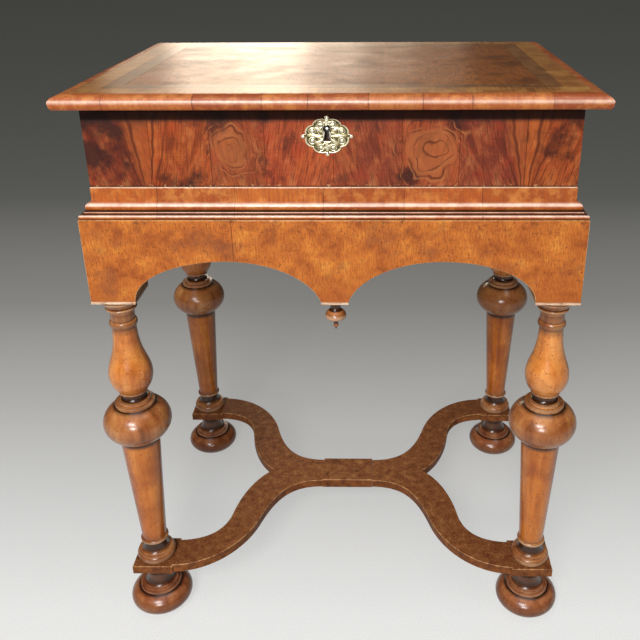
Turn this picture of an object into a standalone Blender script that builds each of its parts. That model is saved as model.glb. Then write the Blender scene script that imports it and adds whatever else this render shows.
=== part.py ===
import math

import bmesh
import bpy
from mathutils import Matrix, Vector
from mathutils.geometry import interpolate_bezier

for old in list(bpy.data.objects):
    bpy.data.objects.remove(old, do_unlink=True)

# Fits, in metres like every size below
GAP = 0.0003
VENEER = 0.0015

# Whole piece, from the floor to the top of the lid and over the frieze
TOTAL_HEIGHT = 0.7667
STAND_WIDTH = 0.596
STAND_DEPTH = 0.434

# Frieze of the stand
FRIEZE_HEIGHT = 0.106
POST_SIDE = 0.053
LEG_OUT = 0.0025
APRON_THICK = 0.020
BACK_RAIL_HEIGHT = 0.060
TENON_LENGTH = 0.028
TENON_HEIGHT = 0.036
ARCH_RISE = 0.0535
DROP_SLOPE = math.radians(77.6)
DROP_WIDTH = 0.0334
DROP_PAD_DEPTH = 0.027
PAD_THICK = 0.0028
FINIAL_RADIUS = 0.0132
FINIAL_LENGTH = 0.0391
FINIAL_DOWEL_RADIUS = 0.0038
FINIAL_DOWEL_LENGTH = 0.018

# Moulding round the top of the stand
MOULDING_HEIGHT = 0.0353
MOULDING_DEPTH = 0.027
MOULDING_STEP = 0.0145
REEDS_HEIGHT = 0.020

# Turned legs
LEG_DOWEL_RADIUS = 0.010
LEG_DOWEL_LENGTH = 0.028
CAPITAL_RADIUS = 0.0255
CAPITAL_HEIGHT = 0.025
NECK_RADIUS = 0.0153
NECK_HEIGHT = 0.0085
RING_RADIUS = 0.0177
RING_HEIGHT = 0.009
PEAR_RADIUS = 0.0283
PEAR_HEIGHT = 0.0935
COLLAR_RADIUS = 0.0186
COLLAR_HEIGHT = 0.015
STEP_RADIUS = 0.026
STEP_HEIGHT = 0.008
BALL_RADIUS = 0.0448
BALL_HEIGHT = 0.0525
SHAFT_TOP_RADIUS = 0.0262
SHAFT_LOW_RADIUS = 0.0168
BASE_RADIUS = 0.027
BASE_HEIGHT = 0.0355

# Stretcher and feet
STRETCHER_THICK = 0.0135
STRETCHER_BLOCK = 0.057
STRETCHER_ARM = 0.050
CENTRE_WIDTH = 0.082
CENTRE_DEPTH = 0.056
CENTRE_PROUD = 0.002
FOOT_HEIGHT = 0.077
FOOT_RADIUS = 0.0445
FOOT_NECK_RADIUS = 0.0175
FOOT_TOP_RADIUS = 0.0245

# Box
BOX_HEIGHT = 0.0935
BOX_BOARD = 0.013
BOX_BOTTOM = 0.008
BOX_SET_BACK = 0.0025

# Lid
LID_THICK = 0.0165
LID_OVERHANG = 0.0245
LID_EDGE = 0.018
LID_NOSE = 0.0085
NOSE_UNDER = 0.0045
CROSSBAND = 0.027
DARK_BAND = 0.020

# Hinges
HINGE_SPACING = 0.380
HINGE_LENGTH = 0.040
LEAF_WIDTH = 0.010
LEAF_THICK = 0.0015
KNUCKLE_RADIUS = 0.003
HINGE_PIN_RADIUS = 0.0012

# Lock and escutcheon
LOCK_X = -0.005
LOCK_WIDTH = 0.058
LOCK_HEIGHT = 0.0485
LOCK_DEPTH = 0.0095
LOCK_WALL = 0.0016
KEY_DROP = 0.0251
DRILL_PIN_RADIUS = 0.0015
BOLT_HEIGHT = 0.005
BOLT_THICK = 0.003
BOLT_TRAVEL = 0.008
STAPLE_THICK = 0.003
ESCUTCHEON_WIDTH = 0.059
ESCUTCHEON_HEIGHT = 0.046
ESCUTCHEON_THICK = 0.0012
KEYHOLE_RADIUS = 0.0042
KEYHOLE_LENGTH = 0.0139

# Levels from the floor up, the leg's shaft taking up what the other members leave
LEG_LENGTH = (TOTAL_HEIGHT - FOOT_HEIGHT - STRETCHER_THICK - PAD_THICK - FRIEZE_HEIGHT
              - MOULDING_HEIGHT - BOX_HEIGHT - LID_THICK - 7 * GAP)
SHAFT_HEIGHT = (LEG_LENGTH - CAPITAL_HEIGHT - NECK_HEIGHT - RING_HEIGHT - PEAR_HEIGHT
                - COLLAR_HEIGHT - STEP_HEIGHT - BALL_HEIGHT - BASE_HEIGHT)
STRETCHER_Z = FOOT_HEIGHT + GAP
LEG_Z = STRETCHER_Z + STRETCHER_THICK + GAP
PAD_Z = LEG_Z + LEG_LENGTH + GAP
FRIEZE_Z = PAD_Z + PAD_THICK + GAP
MOULDING_Z = FRIEZE_Z + FRIEZE_HEIGHT + GAP
BOX_Z = MOULDING_Z + MOULDING_HEIGHT + GAP
BOX_TOP = BOX_Z + BOX_HEIGHT
LID_Z = BOX_TOP + GAP
LID_TOP = LID_Z + LID_THICK

# Plan of the stand
HALF_X = STAND_WIDTH / 2
HALF_Y = STAND_DEPTH / 2
SKIN = VENEER + GAP
POST_X = HALF_X - SKIN - POST_SIDE / 2
LEG_X = POST_X + LEG_OUT
LEG_Y = HALF_Y - SKIN - POST_SIDE / 2
ARCH_OUT = POST_X - POST_SIDE / 2
SIDE_ARCH_OUT = LEG_Y - POST_SIDE / 2
STAND_BACK = LEG_Y + POST_SIDE / 2
FINIAL_Y = -HALF_Y + DROP_PAD_DEPTH / 2

# Plan of the box and lid
BOX_X = HALF_X - MOULDING_STEP
BOX_Y = HALF_Y - MOULDING_STEP - BOX_SET_BACK
BOARD_X = BOX_X - SKIN
BOARD_FRONT = -BOX_Y + SKIN
LID_X = BOX_X + LID_OVERHANG
LID_FRONT = -BOX_Y - LID_OVERHANG
HINGE_Y = BOX_Y + KNUCKLE_RADIUS + GAP
HINGE_Z = BOX_TOP + GAP / 2

ROUND_STEPS = 16
SMALL_STEPS = 12
CORNERS = {
    "front_left": (-1, -1),
    "front_right": (1, -1),
    "back_left": (-1, 1),
    "back_right": (1, 1),
}
SIDES = {"left": -1, "right": 1}

# Looks as colour code, roughness and metallic
AMBER_WALNUT = ("b8702c", 0.28, 0.0)
FEET_WALNUT = ("8c4628", 0.25, 0.0)
RED_WALNUT = ("8a4526", 0.22, 0.0)
GOLDEN_WALNUT = ("b87838", 0.28, 0.0)
EDGE_WALNUT = ("c07444", 0.25, 0.0)
DARK_WALNUT = ("4a2818", 0.2, 0.0)
STRETCHER_WALNUT = ("8a4e2e", 0.35, 0.0)
PALE_WOOD = ("d9b183", 0.5, 0.0)
PINE = ("a8783f", 0.7, 0.0)
BRASS = ("c8b878", 0.35, 1.0)
IRON = ("4a4642", 0.5, 1.0)

parts = bpy.data.collections.new("box_on_stand")
bpy.context.scene.collection.children.link(parts)
cutters = bpy.data.collections.new("cutters")
bpy.context.scene.collection.children.link(cutters)
cutters.hide_render = True


def linear(code):
    channels = []
    for start in (0, 2, 4):
        value = int(code[start:start + 2], 16) / 255
        if value <= 0.04045:
            channels.append(value / 12.92)
        else:
            channels.append(((value + 0.055) / 1.055) ** 2.4)
    return (*channels, 1.0)


def frame(name, at, parent=None):
    empty = bpy.data.objects.new(name, None)
    parts.objects.link(empty)
    empty["at"] = at
    empty.location = Vector(at)
    if parent is not None:
        empty.parent = parent
        empty.location = Vector(at) - Vector(parent["at"])
    return empty


def add(name, mesh, at, turn, look, body):
    mesh.name = name
    obj = bpy.data.objects.new(name, mesh)
    obj.parent = body
    obj.location = Vector(at) - Vector(body["at"])
    obj.rotation_euler = turn
    if look is None:
        cutters.objects.link(obj)
        obj.hide_render = True
        obj.display_type = "WIRE"
        return obj
    parts.objects.link(obj)
    code, roughness, metallic = look
    material = bpy.data.materials.new(name)
    material.use_nodes = True
    shader = material.node_tree.nodes["Principled BSDF"]
    shader.inputs["Base Color"].default_value = linear(code)
    shader.inputs["Roughness"].default_value = roughness
    shader.inputs["Metallic"].default_value = metallic
    mesh.materials.clear()
    mesh.materials.append(material)
    return obj


def held(data):
    holder = bpy.data.objects.new("holder", data)
    parts.objects.link(holder)
    return holder


def solid_mesh(holder):
    bpy.context.view_layer.update()
    graph = bpy.context.evaluated_depsgraph_get()
    mesh = bpy.data.meshes.new_from_object(holder.evaluated_get(graph))
    bpy.data.objects.remove(holder, do_unlink=True)
    bm = bmesh.new()
    bm.from_mesh(mesh)
    bmesh.ops.remove_doubles(bm, verts=bm.verts, dist=1e-6)
    bmesh.ops.recalc_face_normals(bm, faces=bm.faces)
    bm.to_mesh(mesh)
    bm.free()
    return mesh


def boxes(name, ranges, look, body):
    low = Vector(ranges[0][0])
    high = Vector(ranges[0][1])
    at = (low + high) / 2
    bm = bmesh.new()
    for start, end in ranges:
        size = Vector(end) - Vector(start)
        middle = (Vector(end) + Vector(start)) / 2 - at
        bmesh.ops.create_cube(bm, size=1.0, matrix=Matrix.LocRotScale(middle, None, size))
    mesh = bpy.data.meshes.new(name)
    bm.to_mesh(mesh)
    bm.free()
    return add(name, mesh, at, (0, 0, 0), look, body)


FACING = {
    "up": (0, 0, 0),
    "front": (math.pi / 2, 0, 0),
    "side": (math.pi / 2, 0, math.pi / 2),
}


def flat(name, loops, thick, at, facing, look, body):
    curve = bpy.data.curves.new(name, "CURVE")
    curve.dimensions = "2D"
    curve.fill_mode = "BOTH"
    curve.extrude = thick / 2
    for loop in loops:
        spline = curve.splines.new("POLY")
        spline.points.add(len(loop) - 1)
        for point, (across, along) in zip(spline.points, loop):
            point.co = (across, along, 0, 1)
        spline.use_cyclic_u = True
    return add(name, solid_mesh(held(curve)), at, FACING[facing], look, body)


def turned(name, profile, steps, at, turn, look, body):
    points = [profile[0]]
    for point in profile[1:]:
        if math.dist(point, points[-1]) > 1e-6:
            points.append(point)
    mesh = bpy.data.meshes.new(name)
    edges = [(i, i + 1) for i in range(len(points) - 1)]
    mesh.from_pydata([(radius, 0, level) for radius, level in points], edges, [])
    holder = held(mesh)
    screw = holder.modifiers.new("turn", "SCREW")
    screw.steps = steps
    screw.render_steps = steps
    screw.use_merge_vertices = True
    screw.merge_threshold = 1e-5
    result = solid_mesh(holder)
    result.shade_smooth()
    result.set_sharp_from_angle(angle=math.radians(35))
    return add(name, result, at, turn, look, body)


def pegs(name, places, radius, near, far, steps, look, body):
    bm = bmesh.new()
    at = Vector((places[0][0], (near + far) / 2, places[0][1]))
    for across, level in places:
        spin = Matrix.Rotation(math.pi / 2, 4, "X")
        shift = Matrix.Translation((across - at.x, 0, level - at.z))
        bmesh.ops.create_cone(bm, cap_ends=True, segments=steps, radius1=radius, radius2=radius,
                              depth=abs(far - near), matrix=shift @ spin)
    mesh = bpy.data.meshes.new(name)
    bm.to_mesh(mesh)
    bm.free()
    return add(name, mesh, at, (0, 0, 0), look, body)


def stick(name, profile, length, mitres, at, turn, look, body):
    bm = bmesh.new()
    ring = [bm.verts.new((-length / 2, depth, level)) for depth, level in profile]
    face = bm.faces.new(ring)
    grown = bmesh.ops.extrude_face_region(bm, geom=[face])
    moved = [item for item in grown["geom"] if isinstance(item, bmesh.types.BMVert)]
    bmesh.ops.translate(bm, verts=moved, vec=(length, 0, 0))
    for end in mitres:
        everything = bm.verts[:] + bm.edges[:] + bm.faces[:]
        reach = end * (length / 2 - GAP * 0.75)
        bmesh.ops.bisect_plane(bm, geom=everything, dist=1e-7, plane_co=(reach, 0, 0),
                               plane_no=(end, 1, 0), clear_outer=True)
        rim = [edge for edge in bm.edges if edge.is_boundary]
        bmesh.ops.holes_fill(bm, edges=rim)
    bmesh.ops.recalc_face_normals(bm, faces=bm.faces)
    mesh = bpy.data.meshes.new(name)
    bm.to_mesh(mesh)
    bm.free()
    return add(name, mesh, at, turn, look, body)


def combine(obj, other, operation):
    modifier = obj.modifiers.new(other.name, "BOOLEAN")
    modifier.operation = operation
    modifier.solver = "EXACT"
    modifier.object = other


def circle(across, along, radius, steps):
    return [(across + radius * math.cos(2 * math.pi * i / steps),
             along + radius * math.sin(2 * math.pi * i / steps)) for i in range(steps)]


def rectangle(low_x, low_y, high_x, high_y):
    return [(low_x, low_y), (high_x, low_y), (high_x, high_y), (low_x, high_y)]


# Turned members, each a list of radius and drop from its own top
def straight(radius, height):
    return [(radius, 0), (radius, height)]


def taper(top, low, height):
    return [(top, 0), (low, height)]


def bead(edge, radius, height, steps):
    turns = [math.pi * i / steps for i in range(steps + 1)]
    return [(edge + (radius - edge) * math.sin(a), height * (1 - math.cos(a)) / 2) for a in turns]


def hollow(top, low, height, steps):
    turns = [math.pi / 2 * i / steps for i in range(steps + 1)]
    if top > low:
        return [(top - (top - low) * math.sin(a), height * (1 - math.cos(a))) for a in turns]
    return [(low - (low - top) * math.cos(a), height * math.sin(a)) for a in turns]


def swell(radius, half, above, below, steps):
    first = math.asin(above / half)
    last = -math.asin(below / half)
    turns = [first + (last - first) * i / steps for i in range(steps + 1)]
    return [(radius * math.cos(a), above - half * math.sin(a)) for a in turns]


def curved(start, lead, follow, end, steps):
    spots = [Vector((radius, drop, 0)) for radius, drop in (start, lead, follow, end)]
    return [(spot.x, spot.y) for spot in interpolate_bezier(*spots, steps + 1)]


def stacked(runs, top):
    profile = []
    level = top
    for run in runs:
        profile += [(radius, level - drop) for radius, drop in run]
        level -= run[-1][1]
    return profile


# Bodies, with a moving one placed on its own axis
stand = frame("stand_frame", (0, 0, 0))
box = frame("box_frame", (0, 0, BOX_Z), stand)
lid = frame("lid_frame", (0, HINGE_Y, HINGE_Z), box)

# Bun feet with fine rings, a hollow neck and a socket for the leg
SOCKET_RADIUS = LEG_DOWEL_RADIUS + GAP
BUN_HALF = FOOT_HEIGHT * 0.3065
BUN_LOW = BUN_HALF * 0.8686
BUN_HIGH = BUN_HALF * 0.7415
FINE_RING = FOOT_HEIGHT * 0.0415
COVE_HEIGHT = FOOT_HEIGHT - BUN_LOW - BUN_HIGH - 2 * FINE_RING
SOCKET_DROP = LEG_DOWEL_LENGTH + GAP
FOOT_RUNS = [
    straight(FOOT_TOP_RADIUS, COVE_HEIGHT * 0.08),
    hollow(FOOT_TOP_RADIUS, FOOT_NECK_RADIUS, COVE_HEIGHT * 0.42, 3),
    hollow(FOOT_NECK_RADIUS, FOOT_RADIUS * 0.56, COVE_HEIGHT * 0.50, 3),
    straight(FOOT_RADIUS * 0.59, FINE_RING),
    straight(FOOT_RADIUS * 0.67, FINE_RING),
    swell(FOOT_RADIUS, BUN_HALF, BUN_HIGH, BUN_LOW, 8),
]
FOOT_PROFILE = [(0, FOOT_HEIGHT - SOCKET_DROP), (SOCKET_RADIUS, FOOT_HEIGHT - SOCKET_DROP)]
FOOT_PROFILE += [(SOCKET_RADIUS, FOOT_HEIGHT)]
FOOT_PROFILE += stacked(FOOT_RUNS, FOOT_HEIGHT) + [(0, 0)]
for corner, (sign_x, sign_y) in CORNERS.items():
    spot = (sign_x * LEG_X, sign_y * LEG_Y, 0)
    turned("foot_" + corner, FOOT_PROFILE, ROUND_STEPS, spot, (0, 0, 0), FEET_WALNUT, stand)


# Serpentine stretcher arms tenoned into the centre block
def arm_outline(sign_x, sign_y):
    block = STRETCHER_BLOCK / 2
    arm = STRETCHER_ARM / 2
    inner = LEG_X - block
    root = CENTRE_WIDTH / 2 + GAP
    outer_edge = curved((inner, LEG_Y + arm), (0.67 * LEG_X, LEG_Y + arm - 0.003),
                        (0.532 * LEG_X, 0.852 * LEG_Y), (0.485 * LEG_X, 0.624 * LEG_Y), 7)
    outer_edge += curved((0.485 * LEG_X, 0.624 * LEG_Y), (0.418 * LEG_X, 0.294 * LEG_Y),
                         (0.337 * LEG_X, CENTRE_DEPTH / 2 - 0.001),
                         (root, CENTRE_DEPTH / 2 - 0.001), 8)[1:]
    notch_edge = curved((0.459 * LEG_X, GAP / 2), (0.548 * LEG_X, 0.095 * LEG_Y),
                        (0.618 * LEG_X, 0.304 * LEG_Y), (0.644 * LEG_X, 0.556 * LEG_Y), 6)
    notch_edge += curved((0.644 * LEG_X, 0.556 * LEG_Y), (0.663 * LEG_X, 0.739 * LEG_Y),
                         (0.733 * LEG_X, LEG_Y - arm - 0.002), (inner, LEG_Y - arm), 6)[1:]
    outline = rectangle(inner, LEG_Y - block, LEG_X + block, LEG_Y + block)
    outline += outer_edge + [(root, GAP / 2)] + notch_edge
    return [(sign_x * across, sign_y * along) for across, along in outline]


ARM_MIDDLE = STRETCHER_Z + STRETCHER_THICK / 2
ARM_TENON = STRETCHER_THICK * 0.2
centre = boxes("stretcher_centre", [
    ((-CENTRE_WIDTH / 2, -CENTRE_DEPTH / 2, STRETCHER_Z),
     (CENTRE_WIDTH / 2, CENTRE_DEPTH / 2, STRETCHER_Z + STRETCHER_THICK + CENTRE_PROUD)),
], STRETCHER_WALNUT, stand)
for corner, (sign_x, sign_y) in CORNERS.items():
    loops = [arm_outline(sign_x, sign_y), circle(sign_x * LEG_X, sign_y * LEG_Y, SOCKET_RADIUS, ROUND_STEPS)]
    arm = flat("stretcher_arm_" + corner, loops, STRETCHER_THICK, (0, 0, ARM_MIDDLE), "up",
               STRETCHER_WALNUT, stand)
    spans_x = sorted([sign_x * CENTRE_WIDTH * 0.30, sign_x * CENTRE_WIDTH * 0.62])
    spans_y = sorted([sign_y * CENTRE_DEPTH * 0.10, sign_y * CENTRE_DEPTH * 0.38])
    tenon = boxes("arm_tenon_" + corner, [
        ((spans_x[0], spans_y[0], ARM_MIDDLE - ARM_TENON), (spans_x[1], spans_y[1], ARM_MIDDLE + ARM_TENON)),
    ], None, stand)
    mortise = boxes("arm_mortise_" + corner, [
        ((spans_x[0] - GAP, spans_y[0] - GAP, ARM_MIDDLE - ARM_TENON - GAP),
         (spans_x[1] + GAP, spans_y[1] + GAP, ARM_MIDDLE + ARM_TENON + GAP)),
    ], None, stand)
    combine(arm, tenon, "UNION")
    combine(centre, mortise, "DIFFERENCE")

# Legs turned with a dowel at each end
PEAR_LOW = PEAR_RADIUS * 0.72
PEAR_RISE = PEAR_HEIGHT * 0.765
PEAR_FALL = PEAR_HEIGHT - PEAR_RISE
BALL_HALF = BALL_HEIGHT * 0.6286
BALL_ABOVE = BALL_HEIGHT * 0.514
LEG_RUNS = [
    straight(CAPITAL_RADIUS, CAPITAL_HEIGHT * 0.12),
    curved((CAPITAL_RADIUS, 0), (CAPITAL_RADIUS, CAPITAL_HEIGHT * 0.5), (NECK_RADIUS * 1.05, CAPITAL_HEIGHT * 0.52),
           (NECK_RADIUS, CAPITAL_HEIGHT * 0.88), 4),
    straight(NECK_RADIUS, NECK_HEIGHT),
    bead(NECK_RADIUS, RING_RADIUS, RING_HEIGHT, 3),
    curved((NECK_RADIUS, 0), (NECK_RADIUS, PEAR_RISE * 0.62), (PEAR_RADIUS, PEAR_RISE * 0.70),
           (PEAR_RADIUS, PEAR_RISE), 5),
    curved((PEAR_RADIUS, 0), (PEAR_RADIUS, PEAR_FALL * 0.43), (PEAR_RADIUS * 0.833, PEAR_FALL * 0.80),
           (PEAR_LOW, PEAR_FALL), 3),
    straight(COLLAR_RADIUS, COLLAR_HEIGHT * 0.3),
    hollow(COLLAR_RADIUS * 0.86, COLLAR_RADIUS * 0.75, COLLAR_HEIGHT * 0.3, 1),
    hollow(COLLAR_RADIUS * 0.75, STEP_RADIUS * 0.73, COLLAR_HEIGHT * 0.4, 2),
    straight(STEP_RADIUS * 0.82, STEP_HEIGHT * 0.5),
    straight(STEP_RADIUS, STEP_HEIGHT * 0.5),
    swell(BALL_RADIUS, BALL_HALF, BALL_ABOVE, BALL_HEIGHT - BALL_ABOVE, 7),
    taper(SHAFT_TOP_RADIUS, SHAFT_LOW_RADIUS, SHAFT_HEIGHT),
    bead(SHAFT_LOW_RADIUS, SHAFT_LOW_RADIUS * 1.16, BASE_HEIGHT * 0.163, 2),
    hollow(SHAFT_LOW_RADIUS * 0.94, BASE_RADIUS * 0.85, BASE_HEIGHT * 0.465, 2),
    straight(BASE_RADIUS * 0.9, BASE_HEIGHT * 0.047),
    bead(BASE_RADIUS * 0.87, BASE_RADIUS, BASE_HEIGHT * 0.325, 3),
]
DOWEL_TOP = LEG_LENGTH + PAD_THICK + LEG_DOWEL_LENGTH
DOWEL_LOW = -STRETCHER_THICK - LEG_DOWEL_LENGTH
LEG_PROFILE = [(0, DOWEL_TOP), (LEG_DOWEL_RADIUS, DOWEL_TOP), (LEG_DOWEL_RADIUS, LEG_LENGTH)]
LEG_PROFILE += stacked(LEG_RUNS, LEG_LENGTH)
LEG_PROFILE += [(LEG_DOWEL_RADIUS, 0), (LEG_DOWEL_RADIUS, DOWEL_LOW), (0, DOWEL_LOW)]
for corner, (sign_x, sign_y) in CORNERS.items():
    spot = (sign_x * LEG_X, sign_y * LEG_Y, LEG_Z)
    turned("leg_" + corner, LEG_PROFILE, ROUND_STEPS, spot, (0, 0, 0), AMBER_WALNUT, stand)

# Thin pads under the frieze, pierced for the dowels
for corner, (sign_x, sign_y) in CORNERS.items():
    end_y = HALF_Y if sign_y < 0 else STAND_BACK
    plan = rectangle(ARCH_OUT, SIDE_ARCH_OUT, HALF_X, end_y)
    plan = [(sign_x * across, sign_y * along) for across, along in plan]
    hole = circle(sign_x * LEG_X, sign_y * LEG_Y, SOCKET_RADIUS, ROUND_STEPS)
    flat("leg_pad_" + corner, [plan, hole], PAD_THICK, (0, 0, PAD_Z + PAD_THICK / 2), "up",
         PALE_WOOD, stand)
drop_plan = rectangle(-DROP_WIDTH / 2, -HALF_Y, DROP_WIDTH / 2, -HALF_Y + DROP_PAD_DEPTH)
drop_hole = circle(0, FINIAL_Y, FINIAL_DOWEL_RADIUS + GAP, SMALL_STEPS)
flat("drop_pad", [drop_plan, drop_hole], PAD_THICK, (0, 0, PAD_Z + PAD_THICK / 2), "up", PALE_WOOD, stand)

# Turned finial under the drop
FINIAL_TIP = FINIAL_RADIUS * 0.22
FINIAL_RUNS = [
    straight(FINIAL_RADIUS * 0.80, FINIAL_LENGTH * 0.05),
    hollow(FINIAL_RADIUS * 0.76, FINIAL_RADIUS * 0.46, FINIAL_LENGTH * 0.17, 3),
    curved((FINIAL_RADIUS * 0.46, 0), (FINIAL_RADIUS * 0.5, FINIAL_LENGTH * 0.12),
           (FINIAL_RADIUS, FINIAL_LENGTH * 0.16), (FINIAL_RADIUS, FINIAL_LENGTH * 0.30), 4),
    curved((FINIAL_RADIUS, 0), (FINIAL_RADIUS, FINIAL_LENGTH * 0.10),
           (FINIAL_RADIUS * 0.6, FINIAL_LENGTH * 0.15), (FINIAL_TIP, FINIAL_LENGTH * 0.17), 4),
    straight(FINIAL_TIP, FINIAL_LENGTH * 0.14),
    bead(FINIAL_TIP * 0.9, FINIAL_TIP * 1.15, FINIAL_LENGTH * 0.08, 2),
    hollow(FINIAL_TIP * 0.9, FINIAL_TIP * 0.4, FINIAL_LENGTH * 0.09, 2),
]
FINIAL_TOP = PAD_Z - GAP
FINIAL_PEG = PAD_THICK + GAP + FINIAL_DOWEL_LENGTH
FINIAL_PROFILE = [(0, FINIAL_PEG), (FINIAL_DOWEL_RADIUS, FINIAL_PEG), (FINIAL_DOWEL_RADIUS, 0)]
FINIAL_PROFILE += stacked(FINIAL_RUNS, 0) + [(0, -FINIAL_LENGTH)]
turned("drop_finial", FINIAL_PROFILE, SMALL_STEPS, (0, FINIAL_Y, FINIAL_TOP), (0, 0, 0), AMBER_WALNUT, stand)

# Corner posts with a socket for the leg and a mortise for each apron
TENON_TOP = FRIEZE_Z + FRIEZE_HEIGHT - 0.010
TENON_HALF = APRON_THICK * 0.2
APRON_Y = STAND_BACK - APRON_THICK / 2
APRON_X = POST_X + POST_SIDE / 2 - APRON_THICK / 2
APRON_END = ARCH_OUT - GAP
SIDE_APRON_END = SIDE_ARCH_OUT - GAP


def tenon_ranges(grow):
    low = TENON_TOP - TENON_HEIGHT - grow
    high = TENON_TOP + grow
    long_way = (APRON_END - 0.008, APRON_END + TENON_LENGTH + grow)
    side_way = (SIDE_APRON_END - 0.008, SIDE_APRON_END + TENON_LENGTH + grow)
    thick = TENON_HALF + grow
    return low, high, long_way, side_way, thick


def cross_tenons(sign_y, signs_x, grow):
    low, high, long_way, side_way, thick = tenon_ranges(grow)
    ranges = []
    for sign_x in signs_x:
        ends = sorted([sign_x * long_way[0], sign_x * long_way[1]])
        ranges.append(((ends[0], sign_y * APRON_Y - thick, low), (ends[1], sign_y * APRON_Y + thick, high)))
    return ranges


def side_tenons(sign_x, signs_y, grow):
    low, high, long_way, side_way, thick = tenon_ranges(grow)
    ranges = []
    for sign_y in signs_y:
        ends = sorted([sign_y * side_way[0], sign_y * side_way[1]])
        ranges.append(((sign_x * APRON_X - thick, ends[0], low), (sign_x * APRON_X + thick, ends[1], high)))
    return ranges


for corner, (sign_x, sign_y) in CORNERS.items():
    spans_x = sorted([sign_x * ARCH_OUT, sign_x * (POST_X + POST_SIDE / 2)])
    spans_y = sorted([sign_y * SIDE_ARCH_OUT, sign_y * STAND_BACK])
    post = boxes("corner_post_" + corner, [
        ((spans_x[0], spans_y[0], FRIEZE_Z), (spans_x[1], spans_y[1], FRIEZE_Z + FRIEZE_HEIGHT)),
    ], PINE, stand)
    depth = LEG_Z + DOWEL_TOP + GAP
    socket = turned("post_socket_" + corner,
                    [(0, depth), (SOCKET_RADIUS, depth), (SOCKET_RADIUS, PAD_Z), (0, PAD_Z)], ROUND_STEPS,
                    (sign_x * LEG_X, sign_y * LEG_Y, 0), (0, 0, 0), None, stand)
    combine(post, socket, "DIFFERENCE")
    combine(post, boxes("front_mortise_" + corner, cross_tenons(sign_y, [sign_x], GAP), None, stand),
            "DIFFERENCE")
    combine(post, boxes("side_mortise_" + corner, side_tenons(sign_x, [sign_y], GAP), None, stand),
            "DIFFERENCE")


# Aprons sawn to arches, with tenons into the posts
def front_arch(end):
    crown = (ARCH_OUT + DROP_WIDTH / 2) / 2
    half = ARCH_OUT - crown
    reach = half / math.sin(DROP_SLOPE)
    depth = ARCH_RISE / (1 - math.cos(DROP_SLOPE))
    start = math.asin((end - crown) / half)
    outer = [start * (1 - i / 9) for i in range(9)]
    inner = [DROP_SLOPE * i / 9 for i in range(10)]
    edge = [(crown + half * math.sin(a), ARCH_RISE * math.cos(a)) for a in outer]
    edge += [(crown - reach * math.sin(a), ARCH_RISE - depth * (1 - math.cos(a))) for a in inner]
    return edge


def side_arch(end):
    start = math.asin(end / SIDE_ARCH_OUT)
    turns = [-start + 2 * start * i / 18 for i in range(19)]
    return [(SIDE_ARCH_OUT * math.sin(a), ARCH_RISE * math.cos(a)) for a in turns]


right_edge = front_arch(APRON_END)
left_edge = [(-across, level) for across, level in right_edge]
front_outline = left_edge + right_edge[::-1] + [(APRON_END, FRIEZE_HEIGHT), (-APRON_END, FRIEZE_HEIGHT)]
apron = flat("apron_front", [front_outline], APRON_THICK, (0, -APRON_Y, FRIEZE_Z), "front", PINE, stand)
combine(apron, boxes("front_tenons", cross_tenons(-1, (-1, 1), 0), None, stand), "UNION")
peg_top = FINIAL_TOP + FINIAL_PEG + GAP
peg_radius = FINIAL_DOWEL_RADIUS + GAP
bore = turned("drop_bore", [(0, peg_top), (peg_radius, peg_top), (peg_radius, PAD_Z), (0, PAD_Z)], SMALL_STEPS,
              (0, FINIAL_Y, 0), (0, 0, 0), None, stand)
combine(apron, bore, "DIFFERENCE")

rail_low = FRIEZE_Z + FRIEZE_HEIGHT - BACK_RAIL_HEIGHT
back_rail = boxes("apron_back", [
    ((-APRON_END, APRON_Y - APRON_THICK / 2, rail_low),
     (APRON_END, APRON_Y + APRON_THICK / 2, FRIEZE_Z + FRIEZE_HEIGHT)),
], PINE, stand)
combine(back_rail, boxes("back_tenons", cross_tenons(1, (-1, 1), 0), None, stand), "UNION")

side_outline = side_arch(SIDE_APRON_END)
side_outline += [(SIDE_APRON_END, FRIEZE_HEIGHT), (-SIDE_APRON_END, FRIEZE_HEIGHT)]
for side, sign_x in SIDES.items():
    apron = flat("apron_" + side, [side_outline], APRON_THICK, (sign_x * APRON_X, 0, FRIEZE_Z), "side",
                 PINE, stand)
    combine(apron, boxes("side_tenons_" + side, side_tenons(sign_x, (-1, 1), 0), None, stand), "UNION")

# Walnut skins over the frieze
right_edge = front_arch(ARCH_OUT)
left_edge = [(-across, level) for across, level in right_edge]
front_outline = [(-HALF_X, 0)] + left_edge + right_edge[::-1]
front_outline += [(HALF_X, 0), (HALF_X, FRIEZE_HEIGHT), (-HALF_X, FRIEZE_HEIGHT)]
flat("frieze_veneer_front", [front_outline], VENEER, (0, -HALF_Y + VENEER / 2, FRIEZE_Z), "front",
     GOLDEN_WALNUT, stand)
side_front = -HALF_Y + SKIN
side_outline = [(side_front, 0)] + side_arch(SIDE_ARCH_OUT)
side_outline += [(STAND_BACK, 0), (STAND_BACK, FRIEZE_HEIGHT), (side_front, FRIEZE_HEIGHT)]
for side, sign_x in SIDES.items():
    flat("frieze_veneer_" + side, [side_outline], VENEER,
         (sign_x * (HALF_X - VENEER / 2), 0, FRIEZE_Z), "side", GOLDEN_WALNUT, stand)


# Reeded moulding, mitred at the front corners
def reed(depth, level, radius, first, last, steps):
    turns = [math.radians(first + (last - first) * i / steps) for i in range(steps + 1)]
    return [(depth - radius * math.cos(a), level + radius * math.sin(a)) for a in turns]


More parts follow.
